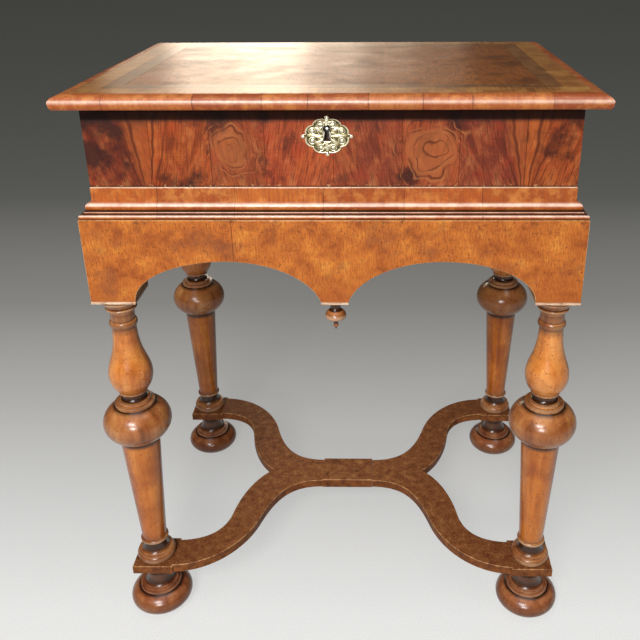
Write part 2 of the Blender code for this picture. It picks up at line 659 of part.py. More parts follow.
reeds = [(MOULDING_DEPTH, 0)]
reeds += reed(0.25 * MOULDING_STEP, 0.16 * REEDS_HEIGHT, 0.16 * REEDS_HEIGHT, -90, 70, 6)
reeds += reed(0.45 * MOULDING_STEP, 0.47 * REEDS_HEIGHT, 0.065 * REEDS_HEIGHT, -70, 70, 3)
reeds += reed(0.77 * MOULDING_STEP, 0.75 * REEDS_HEIGHT, 0.17 * REEDS_HEIGHT, -80, 75, 6)
reeds += [(MOULDING_STEP, REEDS_HEIGHT * 1.02), (MOULDING_STEP, MOULDING_HEIGHT)]
reeds += [(MOULDING_DEPTH, MOULDING_HEIGHT)]
stick("stand_moulding_front", reeds, STAND_WIDTH, (-1, 1), (0, -HALF_Y, MOULDING_Z), (0, 0, 0),
      EDGE_WALNUT, stand)
side_length = HALF_Y + STAND_BACK
side_middle = (STAND_BACK - HALF_Y) / 2
stick("stand_moulding_left", reeds, side_length, (1,), (-HALF_X, side_middle, MOULDING_Z),
      (0, 0, -math.pi / 2), EDGE_WALNUT, stand)
stick("stand_moulding_right", reeds, side_length, (-1,), (HALF_X, side_middle, MOULDING_Z),
      (0, 0, math.pi / 2), EDGE_WALNUT, stand)
rail_end = HALF_X - MOULDING_DEPTH - GAP
boxes("stand_top_rail_back", [
    ((-rail_end, STAND_BACK - MOULDING_DEPTH, MOULDING_Z), (rail_end, STAND_BACK, MOULDING_Z + MOULDING_HEIGHT)),
], PINE, stand)

# Box boards with through dovetails over a nailed bottom board
TAILS = 3
WALL_Z = BOX_Z + BOX_BOTTOM + GAP
WALL_HEIGHT = BOX_TOP - WALL_Z
TAIL_PITCH = WALL_HEIGHT / TAILS
TAIL_ROOT = TAIL_PITCH * 0.28
TAIL_END = TAIL_PITCH * 0.36
TAIL_CENTRES = [TAIL_PITCH * (i + 0.5) for i in range(TAILS)]
FRONT_INNER = BOARD_FRONT + BOX_BOARD
BACK_INNER = BOX_Y - BOX_BOARD
SIDE_INNER = BOARD_X - BOX_BOARD

boxes("box_bottom", [((-BOARD_X, BOARD_FRONT, BOX_Z), (BOARD_X, BOX_Y, BOX_Z + BOX_BOTTOM))], PINE, box)
front_board = boxes("box_front", [((-BOARD_X, BOARD_FRONT, WALL_Z), (BOARD_X, FRONT_INNER, BOX_TOP))],
                    PINE, box)
back_board = boxes("box_back", [((-BOARD_X, BACK_INNER, WALL_Z), (BOARD_X, BOX_Y, BOX_TOP))], RED_WALNUT, box)
side_outline = [(FRONT_INNER + GAP, 0)]
for centre_z in TAIL_CENTRES:
    side_outline += [(FRONT_INNER + GAP, centre_z - TAIL_ROOT), (BOARD_FRONT, centre_z - TAIL_END)]
    side_outline += [(BOARD_FRONT, centre_z + TAIL_END), (FRONT_INNER + GAP, centre_z + TAIL_ROOT)]
side_outline += [(FRONT_INNER + GAP, WALL_HEIGHT), (BACK_INNER - GAP, WALL_HEIGHT)]
for centre_z in TAIL_CENTRES[::-1]:
    side_outline += [(BACK_INNER - GAP, centre_z + TAIL_ROOT), (BOX_Y, centre_z + TAIL_END)]
    side_outline += [(BOX_Y, centre_z - TAIL_END), (BACK_INNER - GAP, centre_z - TAIL_ROOT)]
side_outline += [(BACK_INNER - GAP, 0)]
TAIL_SPREAD = (TAIL_END - TAIL_ROOT) / BOX_BOARD
for side, sign_x in SIDES.items():
    flat("box_" + side, [side_outline], BOX_BOARD, (sign_x * (BOARD_X - BOX_BOARD / 2), 0, WALL_Z), "side",
         PINE, box)
    for board, inner, outer, way in ((front_board, FRONT_INNER, BOARD_FRONT, 1),
                                     (back_board, BACK_INNER, BOX_Y, -1)):
        over = 0.002
        narrow = TAIL_ROOT - TAIL_SPREAD * over + GAP * 1.1
        wide = TAIL_END + TAIL_SPREAD * over + GAP * 1.1
        loops = [[(inner + way * over, c - narrow), (outer - way * over, c - wide),
                  (outer - way * over, c + wide), (inner + way * over, c + narrow)] for c in TAIL_CENTRES]
        thick = BOX_BOARD + GAP + over
        sockets = flat(board.name + "_sockets_" + side, loops, thick,
                       (sign_x * (SIDE_INNER - GAP + thick / 2), 0, WALL_Z), "side", None, box)
        combine(board, sockets, "DIFFERENCE")

# Lock let into the front board, its works behind the keyhole
KEY_Z = BOX_TOP - KEY_DROP
LOCK_BACK = FRONT_INNER
LOCK_FRONT = LOCK_BACK - LOCK_DEPTH
LOCK_LOW = BOX_TOP - LOCK_HEIGHT
LOCK_LEFT = LOCK_X - LOCK_WIDTH / 2
LOCK_RIGHT = LOCK_X + LOCK_WIDTH / 2
PLATE_FRONT = LOCK_BACK - LOCK_WALL
WORKS_Y = (LOCK_FRONT + PLATE_FRONT) / 2
BOLT_TOP = BOX_TOP - LOCK_WALL - 0.0012
BOLT_LOW = BOLT_TOP - BOLT_HEIGHT
TALON_HALF = 0.002
LUG = 0.003
LUG_DROP = -0.0033
STAPLE_X = LOCK_X + BOLT_TRAVEL / 2 + TALON_HALF + LUG + STAPLE_THICK / 2 + 0.001
STAPLE_EYE = BOLT_THICK + 4 * GAP
STAPLE_WIDTH = STAPLE_EYE + 0.0018
BOLT_TIP = STAPLE_X - STAPLE_THICK / 2 - 0.0015
BOLT_TAIL = LOCK_LEFT + LOCK_WALL + GAP


def keyhole(grow):
    radius = KEYHOLE_RADIUS + grow
    waist = KEYHOLE_RADIUS * 0.69 + grow
    first = -math.pi / 2 + math.asin(waist / radius)
    turns = [first + (math.pi - 2 * first) * i / 14 for i in range(15)]
    loop = [(LOCK_X + radius * math.cos(a), KEY_Z + radius * math.sin(a)) for a in turns]
    low = KEY_Z - KEYHOLE_LENGTH - grow
    middle = KEY_Z - KEYHOLE_LENGTH * 0.40
    loop += [(LOCK_X - waist, middle), (LOCK_X - radius, low), (LOCK_X + radius, low)]
    loop += [(LOCK_X + waist, middle)]
    return loop


def lowered(loop, level):
    return [(across, height - level) for across, height in loop]


pocket = boxes("lock_pocket", [
    ((LOCK_LEFT - GAP, LOCK_FRONT - GAP, LOCK_LOW - GAP), (LOCK_RIGHT + GAP, LOCK_BACK + 0.002, BOX_TOP + 0.002)),
], None, box)
combine(front_board, pocket, "DIFFERENCE")
key_cut = flat("keyhole_cut", [lowered(keyhole(GAP), BOX_Z)], BOX_BOARD * 2, (0, BOARD_FRONT, BOX_Z), "front",
               None, box)
combine(front_board, key_cut, "DIFFERENCE")

case = boxes("lock_case", [((LOCK_LEFT, LOCK_FRONT, LOCK_LOW), (LOCK_RIGHT, LOCK_BACK, BOX_TOP))], IRON, box)
works = boxes("lock_works", [
    ((LOCK_LEFT + LOCK_WALL, LOCK_FRONT - 0.002, LOCK_LOW + LOCK_WALL),
     (LOCK_RIGHT - LOCK_WALL, PLATE_FRONT, BOX_TOP - LOCK_WALL)),
], None, box)
combine(case, works, "DIFFERENCE")
SLOT_END = STAPLE_THICK / 2 + 0.001
SLOT_SIDE = STAPLE_WIDTH / 2 + 0.0004
slot = boxes("staple_slot", [
    ((STAPLE_X - SLOT_END, WORKS_Y - SLOT_SIDE, BOX_TOP - 2 * LOCK_WALL),
     (STAPLE_X + SLOT_END, WORKS_Y + SLOT_SIDE, BOX_TOP + 0.002)),
], None, box)
combine(case, slot, "DIFFERENCE")
LEDGE_START = BOLT_TAIL + 0.001
LEDGE_LENGTH = 0.012
LEDGE_THICK = 0.003
LEDGE_TOP = BOLT_LOW - 0.0002
ledge = boxes("bolt_ledge", [
    ((LEDGE_START, LOCK_FRONT + 0.0012, LEDGE_TOP - LEDGE_THICK),
     (LEDGE_START + LEDGE_LENGTH, PLATE_FRONT + LOCK_WALL / 2, LEDGE_TOP)),
], None, box)
combine(case, ledge, "UNION")
drill_pin = pegs("drill_pin", [(LOCK_X, KEY_Z)], DRILL_PIN_RADIUS, -BOX_Y + VENEER, LOCK_BACK - LOCK_WALL / 2,
                 12, None, box)
combine(case, drill_pin, "UNION")

bolt = frame("lock_bolt_frame", (BOLT_TIP, WORKS_Y, BOLT_LOW), box)
TALON = LOCK_X - BOLT_TRAVEL / 2 - BOLT_TIP
notch_left = TALON - TALON_HALF
notch_right = TALON + TALON_HALF
bolt_outline = [(BOLT_TAIL - BOLT_TIP, 0), (notch_left - LUG, 0), (notch_left - LUG, LUG_DROP)]
bolt_outline += [(notch_left, LUG_DROP), (notch_left, 0), (notch_right, 0), (notch_right, LUG_DROP)]
bolt_outline += [(notch_right + LUG, LUG_DROP), (notch_right + LUG, 0)]
bolt_outline += [(0, 0), (0, BOLT_HEIGHT), (BOLT_TAIL - BOLT_TIP, BOLT_HEIGHT)]
flat("lock_bolt", [bolt_outline], BOLT_THICK, (BOLT_TIP, WORKS_Y, BOLT_LOW), "front", IRON, bolt)

# Lobed brass escutcheon held by four pins, over the veneer
PLATE_Z = KEY_Z - ESCUTCHEON_HEIGHT * 0.18
NIB = 0.0024
LOBE_X = ESCUTCHEON_WIDTH / 2 - 1.5 * NIB
LOBE_Z = ESCUTCHEON_HEIGHT / 2 - NIB
PIN_RADIUS = 0.0008
PIN_SPOTS = [(ESCUTCHEON_WIDTH / 2 - NIB, 0), (0, ESCUTCHEON_HEIGHT / 2 - NIB)]
PIN_SPOTS += [(-across, -along) for across, along in PIN_SPOTS]


def lobed_outline():
    outline = []
    for quarter in range(4):
        base = quarter * math.pi / 2
        centre_x, centre_z = PIN_SPOTS[quarter]
        nib_turns = [base + math.radians(step) for step in (-60, 0, 60)]
        outline += [(centre_x + NIB * math.cos(a), centre_z + NIB * math.sin(a)) for a in nib_turns]
        for i in range(1, 12):
            a = base + math.pi / 2 * i / 12
            swing = abs(math.sin(4 * a)) ** 0.6
            reach = 0.86 + 0.14 * swing
            outline.append((LOBE_X * reach * math.cos(a), LOBE_Z * reach * math.sin(a)))
    return [(LOCK_X + across, PLATE_Z + along) for across, along in outline]


pin_places = [(LOCK_X + across, PLATE_Z + along) for across, along in PIN_SPOTS]
pin_loops = [lowered(circle(x, z, PIN_RADIUS + GAP, 8), BOX_Z) for x, z in pin_places]
plate_loops = [lowered(lobed_outline(), BOX_Z), lowered(keyhole(0), BOX_Z)]
plate_y = -BOX_Y - GAP - ESCUTCHEON_THICK
escutcheon = flat("escutcheon", plate_loops, ESCUTCHEON_THICK, (0, plate_y + ESCUTCHEON_THICK / 2, BOX_Z),
                  "front", BRASS, box)
pin_end = BOARD_FRONT + (BOX_BOARD - LOCK_DEPTH - GAP) * 0.6
shanks = pegs("escutcheon_pins", pin_places, PIN_RADIUS, plate_y + ESCUTCHEON_THICK / 2, pin_end, 6, None, box)
combine(escutcheon, shanks, "UNION")
heads = pegs("escutcheon_pin_heads", pin_places, 2.2 * PIN_RADIUS, plate_y - PIN_RADIUS,
             plate_y + ESCUTCHEON_THICK / 2, 8, None, box)
combine(escutcheon, heads, "UNION")
pin_holes = pegs("escutcheon_pin_holes", pin_places, PIN_RADIUS + GAP, BOARD_FRONT - 0.002, pin_end + GAP, 8,
                 None, box)
combine(front_board, pin_holes, "DIFFERENCE")

# Walnut skins over the box
front_loops = [rectangle(-BOX_X, 0, BOX_X, BOX_HEIGHT), lowered(keyhole(GAP), BOX_Z)] + pin_loops
flat("box_veneer_front", front_loops, VENEER, (0, -BOX_Y + VENEER / 2, BOX_Z), "front", RED_WALNUT, box)
for side, sign_x in SIDES.items():
    spans = sorted([sign_x * BOX_X, sign_x * (BOX_X - VENEER)])
    boxes("box_veneer_" + side, [((spans[0], -BOX_Y + SKIN, BOX_Z), (spans[1], BOX_Y, BOX_TOP))],
          RED_WALNUT, box)

# Lid board with its veneers
EDGE_X = LID_X - LID_EDGE
EDGE_FRONT = LID_FRONT + LID_EDGE
LID_BOARD_TOP = LID_TOP - SKIN
lid_board = boxes("lid_board", [
    ((-EDGE_X + GAP, EDGE_FRONT + GAP, LID_Z), (EDGE_X - GAP, BOX_Y, LID_BOARD_TOP)),
], PINE, lid)


def lid_loop(inset):
    side = EDGE_X - GAP - inset
    return rectangle(-side, EDGE_FRONT + GAP + inset, side, BOX_Y - inset)


lid_skin_z = LID_TOP - VENEER / 2
band_in = CROSSBAND + GAP + DARK_BAND
flat("lid_crossband", [lid_loop(0), lid_loop(CROSSBAND)], VENEER, (0, 0, lid_skin_z), "up", EDGE_WALNUT, lid)
flat("lid_band", [lid_loop(CROSSBAND + GAP), lid_loop(band_in)], VENEER, (0, 0, lid_skin_z), "up",
     DARK_WALNUT, lid)
flat("lid_panel", [lid_loop(band_in + GAP)], VENEER, (0, 0, lid_skin_z), "up", RED_WALNUT, lid)

# Thumbnail moulding round the lid, mitred at the front corners
NOSE_RUN = LID_EDGE * 0.8
nose = [(LID_EDGE, LID_THICK), (LID_EDGE, 0)]
for i in range(4):
    a = math.pi / 2 * i / 3
    nose.append((NOSE_UNDER * (1 - math.sin(a)), LID_NOSE * (1 - math.cos(a))))
for i in range(1, 7):
    a = math.pi / 2 * i / 6
    nose.append((NOSE_RUN * (1 - math.cos(a)), LID_NOSE + (LID_THICK - LID_NOSE) * math.sin(a)))
stick("lid_moulding_front", nose, 2 * LID_X, (-1, 1), (0, LID_FRONT, LID_Z), (0, 0, 0), EDGE_WALNUT, lid)
side_length = BOX_Y - LID_FRONT
side_middle = (BOX_Y + LID_FRONT) / 2
stick("lid_moulding_left", nose, side_length, (1,), (-LID_X, side_middle, LID_Z), (0, 0, -math.pi / 2),
      EDGE_WALNUT, lid)
stick("lid_moulding_right", nose, side_length, (-1,), (LID_X, side_middle, LID_Z), (0, 0, math.pi / 2),
      EDGE_WALNUT, lid)

# Staple under the lid, with an eye for the bolt
STAPLE_PLATE = 0.0018
EYE_LOW = BOLT_LOW - 2 * GAP
EYE_HIGH = BOLT_TOP + 2 * GAP
STAPLE_HALF = LOCK_WIDTH * 0.33
PLATE_HALF = STAPLE_WIDTH / 2 + 0.0008
staple = boxes("lock_staple", [
    ((STAPLE_X - STAPLE_HALF, WORKS_Y - PLATE_HALF, LID_Z), (STAPLE_X + STAPLE_HALF, WORKS_Y + PLATE_HALF,
                                                             LID_Z + STAPLE_PLATE)),
], IRON, lid)
loop_outer = rectangle(-STAPLE_WIDTH / 2, EYE_LOW - 0.0016 - LID_Z, STAPLE_WIDTH / 2, STAPLE_PLATE * 0.6)
loop_eye = rectangle(-STAPLE_EYE / 2, EYE_LOW - LID_Z, STAPLE_EYE / 2, EYE_HIGH - LID_Z)
loop = flat("staple_loop", [loop_outer, loop_eye], STAPLE_THICK, (STAPLE_X, WORKS_Y, LID_Z), "side", None, lid)
combine(staple, loop, "UNION")

# Butt hinges let into the back of the box and the underside of the lid
HINGE_X = HINGE_SPACING / 2
HINGE_HALF = HINGE_LENGTH / 2
LEAF_IN = BOX_Y - LEAF_WIDTH
MIDDLE_KNUCKLE = HINGE_LENGTH / 6
lid_recess = [
    ((STAPLE_X - STAPLE_HALF - GAP, WORKS_Y - PLATE_HALF - GAP, LID_Z - 0.002),
     (STAPLE_X + STAPLE_HALF + GAP, WORKS_Y + PLATE_HALF + GAP, LID_Z + STAPLE_PLATE + GAP)),
]
box_recess = []
for sign_x in SIDES.values():
    low_x = sign_x * HINGE_X - HINGE_HALF - GAP
    high_x = sign_x * HINGE_X + HINGE_HALF + GAP
    lid_recess.append(((low_x, LEAF_IN - GAP, LID_Z - 0.002), (high_x, BOX_Y + 0.002, LID_Z + LEAF_THICK + GAP)))
    box_recess.append(((low_x, LEAF_IN - GAP, BOX_TOP - LEAF_THICK - GAP), (high_x, BOX_Y + 0.002, BOX_TOP + 0.002)))
combine(lid_board, boxes("lid_recess", lid_recess, None, lid), "DIFFERENCE")
combine(back_board, boxes("box_recess", box_recess, None, box), "DIFFERENCE")


def along_x(name, spans, radius, steps, look, body):
    bm = bmesh.new()
    for start, end in spans:
        place = Matrix.Translation(((start + end) / 2, 0, 0)) @ Matrix.Rotation(math.pi / 2, 4, "Y")
        bmesh.ops.create_cone(bm, cap_ends=True, segments=steps, radius1=radius, radius2=radius,
                              depth=end - start, matrix=place)
    mesh = bpy.data.meshes.new(name)
    bm.to_mesh(mesh)
    bm.free()
    return add(name, mesh, (0, HINGE_Y, HINGE_Z), (0, 0, 0), look, body)


for side, sign_x in SIDES.items():
    place = sign_x * HINGE_X
    pin_span = (place - HINGE_HALF, place + HINGE_HALF)
    bore_span = (place - HINGE_HALF - 0.002, place + HINGE_HALF + 0.002)
    outer_spans = [(place - HINGE_HALF, place - MIDDLE_KNUCKLE - GAP)]
    outer_spans.append((place + MIDDLE_KNUCKLE + GAP, place + HINGE_HALF))
    middle_spans = [(place - MIDDLE_KNUCKLE, place + MIDDLE_KNUCKLE)]
    for name, spans, low_z, body in (("hinge_leaf_box_" + side, outer_spans, BOX_TOP - LEAF_THICK, box),
                                     ("hinge_leaf_lid_" + side, middle_spans, LID_Z, lid)):
        plate = ((pin_span[0], LEAF_IN, low_z), (pin_span[1], BOX_Y, low_z + LEAF_THICK))
        tabs = [((start, BOX_Y - 0.001, low_z + 0.0001), (end, HINGE_Y, low_z + LEAF_THICK - 0.0001))
                for start, end in spans]
        leaf = boxes(name, [plate], BRASS, body)
        combine(leaf, boxes(name + "_tabs", tabs, None, body), "UNION")
        combine(leaf, along_x(name + "_knuckles", spans, KNUCKLE_RADIUS, SMALL_STEPS, None, body), "UNION")
        combine(leaf, along_x(name + "_bore", [bore_span], HINGE_PIN_RADIUS + GAP, 8, None, body), "DIFFERENCE")
    along_x("hinge_pin_" + side, [pin_span], HINGE_PIN_RADIUS, 8, BRASS, box)

bpy.context.view_layer.update()
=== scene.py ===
import math

import bpy
from mathutils import Matrix, Vector
from mathutils.geometry import interpolate_bezier


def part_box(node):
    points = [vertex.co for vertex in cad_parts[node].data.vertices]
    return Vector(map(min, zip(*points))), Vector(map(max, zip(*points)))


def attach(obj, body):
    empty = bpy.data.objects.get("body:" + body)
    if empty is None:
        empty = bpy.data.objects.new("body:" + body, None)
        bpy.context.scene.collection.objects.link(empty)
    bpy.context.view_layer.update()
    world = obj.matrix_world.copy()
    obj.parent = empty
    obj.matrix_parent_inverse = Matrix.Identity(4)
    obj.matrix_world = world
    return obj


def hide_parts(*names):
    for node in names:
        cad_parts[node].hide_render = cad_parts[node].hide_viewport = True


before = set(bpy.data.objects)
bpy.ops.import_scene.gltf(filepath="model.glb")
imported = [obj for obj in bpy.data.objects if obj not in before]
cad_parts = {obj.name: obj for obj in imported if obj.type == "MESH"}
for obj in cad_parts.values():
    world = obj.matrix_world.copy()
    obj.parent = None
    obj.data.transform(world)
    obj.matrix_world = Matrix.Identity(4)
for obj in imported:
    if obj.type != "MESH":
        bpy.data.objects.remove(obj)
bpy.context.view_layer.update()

# Four bun feet. Each is one block of walnut turned on a lathe: a deep hollow neck under the stretcher, two
# fine rings and a wide flattened bun. A dowel on the leg comes down through the stretcher into the foot.
MM = 0.001
CORNERS = ("front_left", "front_right", "back_left", "back_right")
foot_low, foot_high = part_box("foot_front_left")
FOOT_HEIGHT = foot_high.z - foot_low.z
BUN_RADIUS = (foot_high.x - foot_low.x) / 2
FOOT_NECK_RADIUS = 17.5 * MM
FOOT_TOP_RADIUS = 24.5 * MM
BUN_HALF = FOOT_HEIGHT * 0.3065
BUN_ABOVE = BUN_HALF * 0.7415
BUN_BELOW = BUN_HALF * 0.8686
FINE_RING = FOOT_HEIGHT * 0.0415
FOOT_COVE = FOOT_HEIGHT - BUN_ABOVE - BUN_BELOW - 2 * FINE_RING
SANDED = 0.5 * MM
RUNG = 3 * MM
LATHE_STEPS = 72
STREAKS = (0.18, 0.45, 0.76)
RIPE_FADE = 5 * MM


def linear(code):
    """An sRGB hex colour as linear red, green, blue and alpha."""
    parts = [int(code[place:place + 2], 16) / 255 for place in (1, 3, 5)]
    return [part / 12.92 if part <= 0.04045 else ((part + 0.055) / 1.055) ** 2.4 for part in parts] + [1.0]


def add(tree, kind, sockets=None, out=0, **settings):
    """Adds a shader node with its own settings, gives each named socket a value or a link, and returns the
    output that is wanted."""
    made = tree.nodes.new("ShaderNode" + kind)
    for name, value in settings.items():
        if name == "stops":
            elements = made.color_ramp.elements
            elements.remove(elements[1])
            elements[0].position = value[0][0]
            elements[0].color = linear(value[0][1])
            for position, code in value[1:]:
                elements.new(position).color = linear(code)
        elif name == "steps":
            made.color_ramp.interpolation = value
        else:
            setattr(made, name, value)
    for name, value in (sockets or {}).items():
        if isinstance(value, bpy.types.NodeSocket):
            tree.links.new(value, made.inputs[name])
        else:
            made.inputs[name].default_value = value
    return made.outputs[out]


def laid_over(tree, colour, films):
    """Lays films of colour over a colour, each from nothing at one value of its pattern to its full strength
    at another."""
    for pattern, least, most, strength, shade in films:
        amount = add(tree, "MapRange", {0: pattern, 1: least, 2: most, 4: strength})
        colour = add(tree, "Mix", {0: amount, 6: colour, 7: linear(shade)}, 2, data_type="RGBA")
    return colour


def plain(radius, height):
    return [(radius, 0), (radius, height)]


def bead(edge, radius, height):
    turns = [math.pi * step / 14 for step in range(15)]
    return [(edge + (radius - edge) * math.sin(a), height * (1 - math.cos(a)) / 2) for a in turns]


def cove(top, low, height):
    turns = [math.pi / 2 * step / 12 for step in range(13)]
    if top > low:
        return [(top - (top - low) * math.sin(a), height * (1 - math.cos(a))) for a in turns]
    return [(low - (low - top) * math.cos(a), height * math.sin(a)) for a in turns]


def bun(radius, half, above, below):
    first = math.asin(above / half)
    last = -math.asin(below / half)
    turns = [first + (last - first) * step / 26 for step in range(27)]
    return [(radius * math.cos(a), above - half * math.sin(a)) for a in turns]


def sweep(*handles, count=20):
    """A smooth curve of a number of points from the first handle to the last."""
    corners = [Vector((across, along, 0)) for across, along in handles]
    return [(point.x, point.y) for point in interpolate_bezier(*corners, count)]


def stacked(runs, top):
    """Members of a turning, each a list of (radius, drop), set one under another from axis to axis."""
    outline = [(0.0, top)]
    for run in runs:
        outline += [(radius, top - drop) for radius, drop in run]
        top -= run[-1][1]
    outline.append((0.0, top))
    return [point for point, after in zip(outline, outline[1:] + [(9, 9)]) if math.dist(point, after) > 1e-6]


def eased(outline, ease):
    """Takes the sharpness off the corners, as sanding and long handling do."""
    soft = [outline[0]]
    for before, here, after in zip(outline, outline[1:], outline[2:]):
        corner = Vector(here)
        back = Vector(before) - corner
        onward = Vector(after) - corner
        if back.angle(onward) > math.radians(155):
            soft.append(here)
            continue
        reach = min(ease, back.length * 0.4, onward.length * 0.4)
        start = corner + back.normalized() * reach
        end = corner + onward.normalized() * reach
        soft += [tuple(start), tuple((start + end + 2 * corner) / 4), tuple(end)]
    return soft + [outline[-1]]


def start_from_a_point(name, place):
    """A new piece of one vertex, in edit mode, ready to be extruded along an outline."""
    bpy.ops.object.select_all(action="DESELECT")
    bpy.ops.mesh.primitive_plane_add(size=MM, location=place)
    piece = bpy.context.object
    piece.name = name
    piece.data.name = name
    bpy.ops.object.mode_set(mode="EDIT")
    bpy.ops.mesh.select_mode(type="VERT")
    bpy.ops.mesh.select_all(action="SELECT")
    bpy.ops.mesh.merge(type="CENTER")
    return piece


def settle(smooth):
    """Closes the seams, turns the faces outwards and puts the piece's place into its mesh."""
    bpy.ops.mesh.select_all(action="SELECT")
    bpy.ops.mesh.remove_doubles(threshold=0.01 * MM)
    bpy.ops.mesh.normals_make_consistent(inside=False)
    bpy.ops.object.mode_set(mode="OBJECT")
    bpy.ops.object.transform_apply(location=True, rotation=True, scale=True)
    bpy.ops.object.shade_smooth_by_angle(angle=math.radians(smooth))


def turned(name, outline):
    """Spins an outline of (radius, height) on the lathe. The attribute relief keeps how far each point stands
    proud of the wood round it (up to 1) or lies in a hollow (down to -1), for wear and for old polish."""
    outline = eased(outline, SANDED)
    rungs = []
    for here, after in zip(outline, outline[1:]):
        count = math.ceil(abs(after[1] - here[1]) / RUNG) or 1
        rungs += [tuple(Vector(here).lerp(Vector(after), step / count)) for step in range(count)]
    outline = rungs + outline[-1:]
    piece = start_from_a_point(name, (outline[0][0], 0, outline[0][1]))
    for here, after in zip(outline, outline[1:]):
        step = (after[0] - here[0], 0, after[1] - here[1])
        bpy.ops.mesh.extrude_vertices_move(TRANSFORM_OT_translate={"value": step})
    bpy.ops.mesh.select_all(action="SELECT")
    bpy.ops.mesh.spin(steps=LATHE_STEPS, angle=math.tau, center=(0, 0, 0), axis=(0, 0, 1))
    settle(40)
    samples = []
    marks = []
    for here, after in zip(outline, outline[1:] + [outline[-1]]):
        marks.append(len(samples))
        count = max(1, round(math.dist(here, after) / (0.5 * MM)))
        samples += [here[0] + (after[0] - here[0]) * step / count for step in range(count)]
    proud = []
    for mark, (radius, height) in zip(marks, outline):
        near = samples[max(0, mark - 8):mark + 9]
        wide = samples[max(0, mark - 28):mark + 29]
        fine_lift = (radius - sum(near) / len(near)) / (1.4 * MM)
        broad_lift = (radius - sum(wide) / len(wide)) / (4 * MM)
        lift = 0.7 * fine_lift + 0.5 * broad_lift
        if lift < 0:
            lift = 0.25 * fine_lift + 0.8 * broad_lift
        proud.append(max(-1, min(1, lift)))
    relief = piece.data.attributes.new("relief", "FLOAT", "POINT")
    for spot, vertex in zip(relief.data, piece.data.vertices):
        place = (math.hypot(vertex.co.x, vertex.co.y), vertex.co.z)
        spot.value = proud[min(range(len(outline)), key=lambda mark: math.dist(outline[mark], place))]
    return piece


def copied(piece, name, step, flip=(1, 1, 1)):
    """A copy with its own mesh, set off from the first or mirrored."""
    bpy.ops.object.select_all(action="DESELECT")
    piece.select_set(True)
    bpy.context.view_layer.objects.active = piece
    bpy.ops.object.duplicate()
    twin = bpy.context.object
    twin.name = name
    twin.data.name = name
    twin.location = step
    twin.scale = flip
    bpy.ops.object.transform_apply(location=True, rotation=True, scale=True)
    if min(flip) < 0:
        bpy.ops.object.mode_set(mode="EDIT")
        bpy.ops.mesh.select_all(action="SELECT")
        bpy.ops.mesh.normals_make_consistent(inside=False)
        bpy.ops.object.mode_set(mode="OBJECT")
    return twin


def standing_place(node):
    """The middle of a node's box, seen from above."""
    low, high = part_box(node)
    return (low.x + high.x) / 2, (low.y + high.y) / 2, 0


def begin_material(name, roughness, coat):
    """A principled material with its even settings on its own sockets."""
    made = bpy.data.materials.new(name)
    made.use_nodes = True
    shader = made.node_tree.nodes["Principled BSDF"]
    shader.inputs["Roughness"].default_value = roughness
    shader.inputs["Coat Weight"].default_value = coat
    shader.inputs["Coat Roughness"].default_value = 0.12
    return made, made.node_tree, shader


